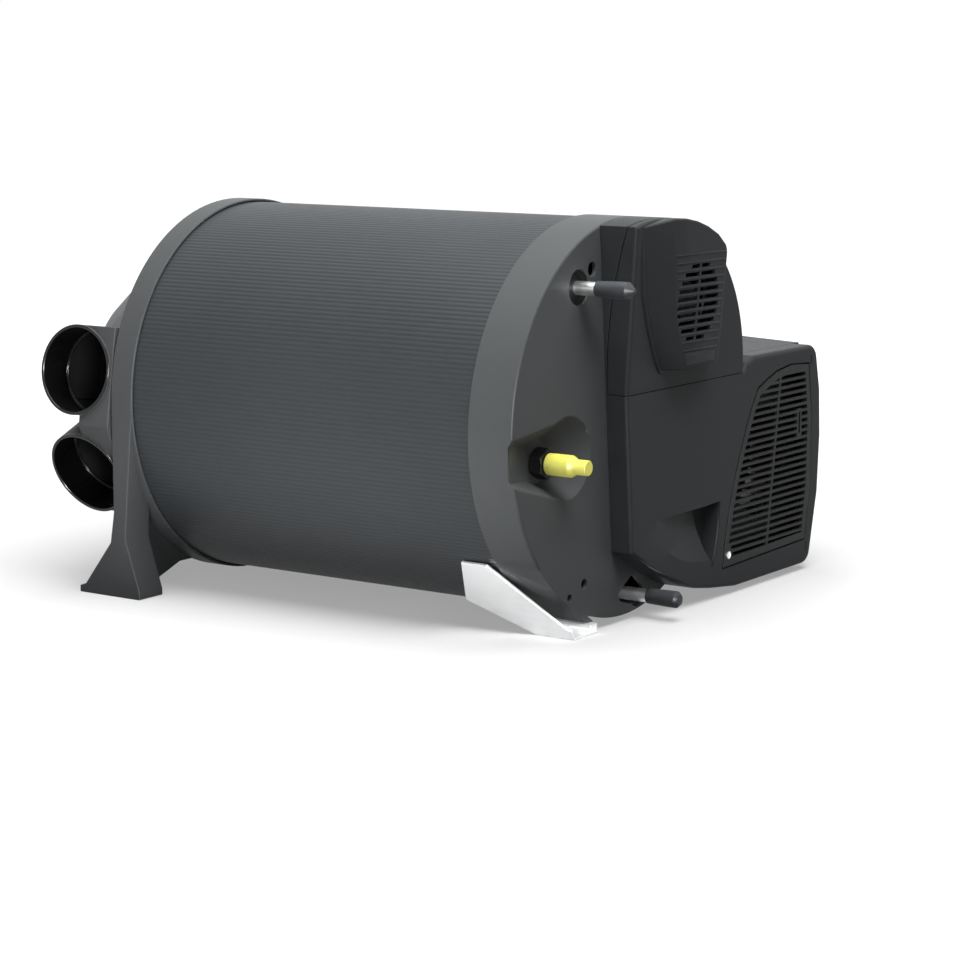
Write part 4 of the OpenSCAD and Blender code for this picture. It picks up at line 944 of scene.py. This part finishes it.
@dataclass
class Stubs:
    """Pipes, their caps, the grommet and the gas nut."""

    hot: tuple[float, float] = (-63.0, 252.0)
    gas: tuple[float, float] = (-90.0, 129.0)
    cold: tuple[float, float] = (20.0, 17.0)
    pipe_r: float = 5.0
    cap_r: float = 6.3
    cap_bore: float = 5.3
    cap_bite: float = 24.3
    mouth_r: float = 5.7
    tip_len: float = 5.5
    tip_slope: float = 0.9
    hot_cap: tuple[float, float] = (363.5, 31.1)
    cold_cap: tuple[float, float] = (358.0, 27.0)
    nut_ends: tuple[float, float] = (330.0, 341.0)
    nut_flat: float = 9.96
    nut_corner: float = 11.5
    gas_ends: tuple[float, float, float] = (341.3, 363.0, 374.5)
    gas_bore: tuple[float, float] = (365.3, 4.3)
    barrel_r: float = 7.95
    knurl_depth: float = 0.38
    knurl_lead: float = 2.2
    grip_r: float = 5.5

    def water_cap(self, start: float, length: float, place: tuple[float, float]) -> Shell:
        """A push-on cap: tube that widens from its mouth to a pointed end."""
        x0, x1 = start, start + length
        tip = min(self.tip_len, length - self.cap_bite - 0.3)
        profile = round_corners(
            [
                (x0, self.cap_bore), (x0 + self.cap_bite, self.cap_bore), (x0 + self.cap_bite, 0.05),
                (x1, 0.05), (x1, self.cap_r - self.tip_slope * tip), (x1 - tip, self.cap_r),
                (x1 - tip - 6.0, self.cap_r), (x0, self.mouth_r),
            ],
            [0.2, 0.2, 0, 0, 0.5, 1.0, 9.0, 0.2],
        )
        return turned(Axis((0.0, *place)), profile, 48)

    def grommet(self) -> Shell:
        """The hot pipe's collar: a dished ring with a raised lip round the pipe."""
        x = FACE_X
        profile = round_corners(
            [
                (x - 4.5, 14.8), (x - 3.0, 14.8), (x - 3.0, 12.7), (x - 0.9, 12.7), (x - 1.2, 11.6),
                (x - 2.6, 8.4), (x - 2.2, 7.0), (x - 1.4, 6.2), (x - 1.4, 5.1), (x - 4.5, 5.1),
            ],
            [0.2, 0.2, 0.1, 0.5, 0.6, 1.0, 0.6, 0.4, 0.3, 0.2],
        )[::-1]
        return turned(Axis((0.0, *self.hot)), profile, 64)

    def nut(self) -> Shell:
        """The gas nut: a hexagon cut by a cone at each end, radius = min(hexagon, cone)."""
        x0, x1 = self.nut_ends
        angle = np.linspace(0, 2 * math.pi, 144, endpoint=False)
        hexagon = self.nut_flat / np.cos((angle + math.pi / 6) % (math.pi / 3) - math.pi / 6)
        step = np.array([0.0, 0.01, 0.4, 0.8, 1.2])
        x = np.concatenate([x0 + step, x1 - step[::-1]])
        cone = np.minimum(self.nut_corner, self.nut_flat - 0.1 + 1.6 * np.minimum(x - x0, x1 - x))
        radius = np.minimum(hexagon[None], cone[:, None])
        radius[[0, -1]] = 4.1
        along, turn = np.broadcast_arrays(x[:, None], angle[None])
        return Shell.grid(Axis((0.0, *self.gas)).place(along, radius, turn), True, True)

    def gas_cap(self) -> Shell:
        """The yellow cap: a thick knurled barrel, a step and a narrow grip.

        The knurl is the smaller of two triangle waves that run round the barrel in opposite twists.
        """
        x0, x1, x2 = self.gas_ends
        steps, turns = 192, 24
        angle = np.linspace(0, 2 * math.pi, steps, endpoint=False)[None]
        run = np.linspace(x0 + 0.9, x1 - 3.2, 61)[:, None]
        round_part, twist = turns * angle / (2 * math.pi), (run - x0) / self.knurl_lead
        a, b = round_part + twist, round_part - twist
        wave = np.minimum(np.abs(a % 1 - 0.5), np.abs(b % 1 - 0.5)) * 2
        fade = np.clip(np.minimum(run - run[0], run[-1] - run) / 0.8, 0, 1)
        barrel = self.barrel_r - self.knurl_depth * fade * np.clip(1 - 3.0 * wave, 0, 1)
        end, bore = self.gas_bore
        mouth = np.array([(x0, bore), (x0, 7.5), (x0 + 0.4, 7.9)])
        grip = np.array([
            (x1 - 2.6, 7.9), (x1 - 0.5, 6.9), (x1, 5.9), (x1 + 0.5, self.grip_r), (x2 - 0.5, self.grip_r),
            (x2, 5.0), (x2, 0.05), (end, 0.05), (end, bore),
        ])
        rows = [np.repeat(part[:, :, None], steps, 2) for part in (mouth, grip)]
        x = np.concatenate([rows[0][:, 0], np.repeat(run, steps, 1), rows[1][:, 0]])
        radius = np.concatenate([rows[0][:, 1], barrel, rows[1][:, 1]])
        return Shell.grid(Axis((0.0, *self.gas)).place(x, radius, np.repeat(angle, len(x), 0)), True, True)

    def build(self) -> None:
        """Makes the stubs' pieces."""
        for name, ends, place, body in (
            ("hot_water", self.hot_cap, self.hot, Body.HOT_CAP),
            ("cold_water", self.cold_cap, self.cold, Body.COLD_CAP),
        ):
            shell = self.water_cap(*ends, place)
            new_piece(name + "_sleeve", shell, Look.CAP_GREY, body, [name + "_cap"])
        new_piece("gas_knurled_cap", self.gas_cap(), Look.CAP_YELLOW, Body.GAS_CAP, ["gas_cap"], 40.0)
        new_piece("hot_water_collar", self.grommet(), Look.PORT, nodes=["hot_water_grommet"])
        new_piece("gas_hex_nut", self.nut(), Look.PORT, nodes=["gas_nut"], angle=25.0)
        for pipe in ("hot_water_pipe", "cold_water_pipe", "gas_pipe"):
            dress(pipe, Look.STAINLESS)
        dress("cold_water_elbow", Look.MOTOR)


@dataclass
class VentField:
    """The fine ribs round the vent's slots, and the blank plate under them."""

    centre: tuple[float, float] = (41.0, 236.0)
    pitch: float = 5.9
    ribs: int = 13
    half_height: float = 0.7
    rise: float = 0.45
    right: float = 76.0
    face_top: tuple[float, float] = (390.0, 295.0)
    drop: float = 0.085
    hood_low: float = 172.0
    hood_height: float = 127.0
    hood_rise: float = 14.0
    left: tuple[tuple[float, float], ...] = (
        (28.0, 186.0), (21.0, 203.5), (14.5, 220.0), (7.0, 244.0), (1.5, 270.0), (-3.0, 294.0)
    )
    bead_path: tuple[tuple[float, float], ...] = (
        (-28.0, 293.0), (-23.5, 270.0), (-18.0, 243.0), (-8.0, 221.5), (4.0, 201.0), (16.0, 185.6),
        (34.0, 185.6),
    )
    bead_corners: tuple[float, ...] = (0, 30, 40, 40, 40, 5, 0)
    bead_round: float = 1.7
    blank: tuple[tuple[float, float], ...] = ((30.5, 189.5), (72.0, 189.5), (72.0, 198.5), (27.5, 198.5))

    def face(self, yz: np.ndarray) -> np.ndarray:
        """Returns the X of the vent's face, a plane that leans back downwards."""
        return self.face_top[0] - (self.face_top[1] - np.asarray(yz)[..., 1]) * self.drop

    def rib(self, z: float) -> Shell:
        """One rib: half an ellipse carried across the face, drawn to a point at each end."""
        y, heights = np.array(self.left).T
        start = np.interp(z, heights, y) + 3.0
        t = np.linspace(0, math.pi, 7)
        section_z = np.concatenate([-np.cos(t), [1.0, -1.0]]) * self.half_height
        section_x = np.concatenate([np.sin(t) * self.rise, [-0.4, -0.4]])
        across = np.array([start, start + 0.8, self.right - 0.8, self.right])
        scale = np.array([0.05, 1.0, 1.0, 0.05])
        zs = z + scale[:, None] * section_z
        ys = np.repeat(across[:, None], len(section_z), 1)
        xs = self.face(np.stack([ys, zs], -1)) + scale[:, None] * section_x
        return loft(np.stack([xs, ys, zs], -1))

    def bead(self) -> Shell:
        """The lip at the vent cover's left and lower edges: a circle carried along its foot on the hood.

        At a point of the path with the unit tangent t, the circle stands on the X axis and on t x X.
        """
        yz = round_corners(self.bead_path, self.bead_corners, closed=False)
        along = np.gradient(yz, axis=0)
        along /= np.linalg.norm(along, axis=1)[:, None]
        size = self.bead_round * np.concatenate([[0.05], np.ones(len(yz) - 4), [0.8, 0.5, 0.05]])
        a = np.linspace(0, 2 * math.pi, 13)[:-1]
        side = size[:, None] * np.sin(a)
        ys, zs = yz[:, :1] + along[:, 1:] * side, yz[:, 1:] - along[:, :1] * side
        hood = SEAM_X + self.hood_rise * (yz[:, 1:] - self.hood_low) / self.hood_height
        return loft(np.stack([hood + size[:, None] * np.cos(a), ys, zs], -1))

    def build(self) -> None:
        """Makes the ribs, the plate and the lip."""
        rows = self.centre[1] + (np.arange(self.ribs) - (self.ribs - 1) / 2) * self.pitch
        new_piece("vent_ribs", Shell.joined([self.rib(z) for z in rows]), Look.COVER, angle=50.0)
        blank = plate(round_corners(self.blank, 1.5), self.face, height=0.3, edge=0.2)
        new_piece("vent_blank_plate", blank, Look.COVER, angle=50.0)
        new_piece("vent_cover_bead", self.bead(), Look.COVER, angle=50.0)


@dataclass
class Covers:
    """The hood, the vent cover, the blower's cover, grille and housing."""

    seam_low: tuple[float, float, float] = (0.0, -60.0, 170.0)
    seam_high: tuple[float, float, float] = (900.0, 146.0, 174.0)
    screw: tuple[float, float] = (FAN[0] - 78.0, FAN[1] - 63.0)
    hooks: tuple[tuple[float, float], ...] = ((256.5, 171.0), (253.0, 19.5))

    def hook(self, place: tuple[float, float]) -> Shell:
        """The mouth of a hook's hole: a narrow oval plate, which is made near black as painted shade for the
        hole.
        """
        corners = np.array([(-1.6, -4.0), (1.6, -4.0), (1.6, 4.0), (-1.6, 4.0)])
        return plate(round_corners(corners + place, 1.5), lambda yz: np.full(len(yz), SEAM_X), 0.12, 0.1)

    def build(self) -> None:
        """Makes the covers' copies, the grille's screw, and near-black plates of painted shade in the hooks'
        mouths.
        """
        seam = EdgeRule(0.3, low=self.seam_low, high=self.seam_high)
        rounded_copy("hood_base", Look.COVER, 0.4)
        rounded_copy("control_hood", Look.COVER, 0.9, [EdgeRule(3.0, Edges.FRONT), seam])
        slots = EdgeRule(0.25, low=(0, 8, 203), high=(900, 74, 269))
        rounded_copy("vent_cover", Look.COVER, 1.6, [slots], weld=0.03, flat=4000.0, seated=True)
        window = EdgeRule(0.9, low=(0, 116, 20), high=(900, 262, 172))
        scoop = EdgeRule(0.45, low=(0, 0, 20), high=(900, 115, 78))
        edge = EdgeRule(4.0, Edges.FRONT)
        wall = EdgeRule(3.0, Edges.FRONT, high=(900, 12, 172))
        notch = EdgeRule(1.8, low=(340, 101, 25), high=(900, 113, 73))
        rules = [edge, wall, scoop, notch, window, seam]
        rounded_copy("blower_cover", Look.COVER, 0.6, rules, band=(SEAM_X, 4.6))
        rounded_copy("intake_grille", Look.GRILLE, 0.35)
        rounded_copy("blower_housing", Look.COVER, 2.0, [EdgeRule(SEAT_ROUND, low=(338, -900, -900))])
        head = screw_head(Axis((SEAM_X, *self.screw)), 3.0, 1.4)
        new_piece("grille_screw_head", head, Look.FASTENER, nodes=["grille_screw"])
        # Dark plates on the hooks' holes: painted shade.
        new_piece("hook_holes_painted_shade", Shell.joined([self.hook(h) for h in self.hooks]), Look.HOLLOW_PAINTED_SHADE)
        dress("blower_foot", Look.SEAL)


@dataclass
class InnerWorks:
    """Pieces inside the jacket and the covers, which keep their shape."""

    looks: dict = field(
        default_factory=lambda: {
            "foam_upper": Look.FOAM,
            "foam_lower": Look.FOAM,
            "water_tank": Look.STAINLESS,
            "heat_exchanger": Look.CAST,
            "burner_tube": Look.STAINLESS,
            "burner_jet": Look.BRASS,
            "ignition_electrode": Look.CERAMIC,
            "exhaust_collector": Look.STAINLESS,
            "tank_sensor": Look.BRASS,
            "motor_plate": Look.CAST,
            "blower_motor": Look.MOTOR,
            "motor_screws": Look.FASTENER,
            "inlet_ring": Look.GRILLE,
            "blower_wheel": Look.WHEEL,
            "blower_shaft": Look.SHAFT,
            "combustion_housing": Look.PORT,
            "combustion_motor": Look.MOTOR,
            "combustion_wheel": Look.CAST,
            "control_board": Look.BOARD,
            "board_standoffs": Look.BRASS,
            "board_parts": Look.MOTOR,
            "gas_valve": Look.VALVE,
        }
    )

    def build(self) -> None:
        """Gives each inner node its finish."""
        for node, look in self.looks.items():
            dress(node, look)


# Stage

class Rays(Enum):
    """Rays that a lamp lights."""

    ALL = "all"
    GLOSSY = "glossy"
    DIFFUSE = "diffuse"


@dataclass(frozen=True)
class Lamp:
    """A soft square lamp: place, the point that it faces and side in metres, and power in watts."""

    name: str
    at: tuple[float, float, float]
    aim: tuple[float, float, float]
    size: float
    power: float
    rays: Rays = Rays.ALL

    def hang(self) -> None:
        """Puts the lamp in the scene."""
        data = bpy.data.lights.new(self.name, "AREA")
        data.size, data.energy = self.size, self.power
        lamp = bpy.data.objects.new(self.name, data)
        lamp.visible_camera = False
        lamp.visible_diffuse = self.rays is not Rays.GLOSSY
        lamp.visible_glossy = self.rays is not Rays.DIFFUSE
        bpy.context.scene.collection.objects.link(lamp)
        z = np.asarray(self.at, float) - np.asarray(self.aim, float)
        z /= np.linalg.norm(z)
        x = np.cross((0.0, 1.0, 0.0) if abs(z[2]) > 0.9 else (0.0, 0.0, 1.0), z)
        x /= np.linalg.norm(x)
        place = Matrix(np.array([x, np.cross(z, x), z]).T.tolist()).to_4x4()
        place.translation = list(self.at)
        lamp.matrix_world = place


MIDDLE = (0.0, 0.0, 0.15)


@dataclass
class Studio:
    """Floor, lamps, backdrop and camera."""

    camera_at: tuple[float, float, float] = (1357.87, -1642.45, 424.36)
    right: tuple[float, float, float] = (0.8220, 0.5695, 0.0)
    up: tuple[float, float, float] = (-0.0929, 0.1341, 0.9866)
    back: tuple[float, float, float] = (0.5619, -0.8110, 0.1631)
    lens: float = 99.63
    sensor: float = 36.0
    lamps: tuple[Lamp, ...] = (
        Lamp("top_lamp", (0.2, -0.25, 2.0), MIDDLE, 2.0, 84.0),
        Lamp("side_lamp", (0.5, -2.2, 0.12), MIDDLE, 1.0, 6.0),
        Lamp("front_lamp", (0.75, -0.4, 0.95), (0.2, -0.1, 0.2), 0.4, 4.5, Rays.DIFFUSE),
        Lamp("floor_lamp", (0.06, -0.46, 0.005), (0.06, -0.46, 1.0), 0.36, 2.0, Rays.DIFFUSE),
        Lamp("edge_lamp", (1.7, -1.7, 0.4), MIDDLE, 0.5, 260.0, Rays.GLOSSY),
    )

    def camera(self) -> None:
        """Puts the camera at the photograph's viewpoint."""
        data = bpy.data.cameras.new("camera")
        data.lens, data.sensor_width, data.sensor_fit = self.lens, self.sensor, "HORIZONTAL"
        data.clip_end = 40.0
        camera = bpy.data.objects.new("camera", data)
        bpy.context.scene.collection.objects.link(camera)
        place = Matrix(np.array([self.right, self.up, self.back]).T.tolist()).to_4x4()
        place.translation = to_part(np.array(self.camera_at)).tolist()
        camera.matrix_world = place
        bpy.context.scene.camera = camera

    def white_ray(self, tree: bpy.types.NodeTree) -> bpy.types.NodeSocket:
        """Returns 1 for camera, glossy and transmission rays."""
        path = add(tree, "ShaderNodeLightPath")
        seen = math_node(tree, "ADD", path.outputs["Is Camera Ray"], path.outputs["Is Glossy Ray"])
        seen = math_node(tree, "ADD", seen, path.outputs["Is Transmission Ray"])
        return math_node(tree, "MINIMUM", seen, 1.0)

    def world(self, level: float = 0.1) -> None:
        """Makes a white backdrop that lights the object at a lower level.

        Args:
            level: The light that reaches the object from all round.
        """
        world = bpy.data.worlds.new("backdrop")
        bpy.context.scene.world = world
        world.use_nodes = True
        tree = world.node_tree
        shown = tree.nodes["Background"]
        shown.inputs["Color"].default_value = (1, 1, 1, 1)
        strength = add(tree, "ShaderNodeMapRange", {"To Min": level, "To Max": 1.0})
        tree.links.new(self.white_ray(tree), strength.inputs["Value"])
        tree.links.new(strength.outputs["Result"], shown.inputs["Strength"])

    def floor(self, half: float = 9.0) -> None:
        """Makes the pale floor, which keeps the object's soft shadow and adds painted shade round it: its
        glow is a third as strong within 0.3 m of the floor's middle, under the object, and full beyond 1.3 m.

        Args:
            half: Half the floor's width in metres.
        """
        mesh = bpy.data.meshes.new("floor")
        corners = np.array([[-half, -half, 0], [half, -half, 0], [half, half, 0], [-half, half, 0]])
        mesh.from_pydata(corners.tolist(), [], [[0, 1, 2, 3]])
        floor = bpy.data.objects.new("floor", mesh)
        floor.location.z = -0.0002
        bpy.context.scene.collection.objects.link(floor)
        material = bpy.data.materials.new("floor_white")
        material.use_nodes = True
        tree = material.node_tree
        tree.nodes.remove(tree.nodes["Principled BSDF"])
        paint = add(tree, "ShaderNodeBsdfDiffuse")
        shade = add(tree, "ShaderNodeMapRange", {"To Min": 0.12, "To Max": 0.42})
        tree.links.new(self.white_ray(tree), shade.inputs["Value"])
        tree.links.new(shade.outputs["Result"], paint.inputs["Color"])
        glow = add(tree, "ShaderNodeEmission", {"Color": (1, 1, 1, 1)})
        where = add(tree, "ShaderNodeTexCoord")
        far = add(tree, "ShaderNodeVectorMath", operation="LENGTH")
        tree.links.new(where.outputs["Object"], far.inputs[0])
        # Painted shade: the glow fades towards the floor's middle under the object, on top of the lamps' real
        # shadow.
        glow_with_painted_shade = add(tree, "ShaderNodeMapRange", {"From Min": 0.3, "From Max": 1.3, "To Min": 0.33})
        tree.links.new(far.outputs["Value"], glow_with_painted_shade.inputs["Value"])
        tree.links.new(
            math_node(tree, "MULTIPLY", glow_with_painted_shade.outputs["Result"], self.white_ray(tree)), glow.inputs["Strength"]
        )
        both = add(tree, "ShaderNodeAddShader")
        tree.links.new(paint.outputs[0], both.inputs[0])
        tree.links.new(glow.outputs[0], both.inputs[1])
        tree.links.new(both.outputs[0], tree.nodes["Material Output"].inputs["Surface"])
        mesh.materials.append(material)

    def build(self) -> None:
        """Sets the stage."""
        bpy.context.scene.view_settings.view_transform = "Standard"
        self.camera()
        self.world()
        self.floor()
        for lamp in self.lamps:
            lamp.hang()


def main() -> None:
    """Builds the stage and the heater's sub-assemblies in order."""
    logging.basicConfig(level=logging.INFO, format="%(name)s: %(message)s")
    Studio().build()
    for assembly in (RibbedJacket(), RearFrame(), FrontCap(), Stubs(), Covers(), VentField(), InnerWorks()):
        assembly.build()


if __name__ == "__main__":
    main()
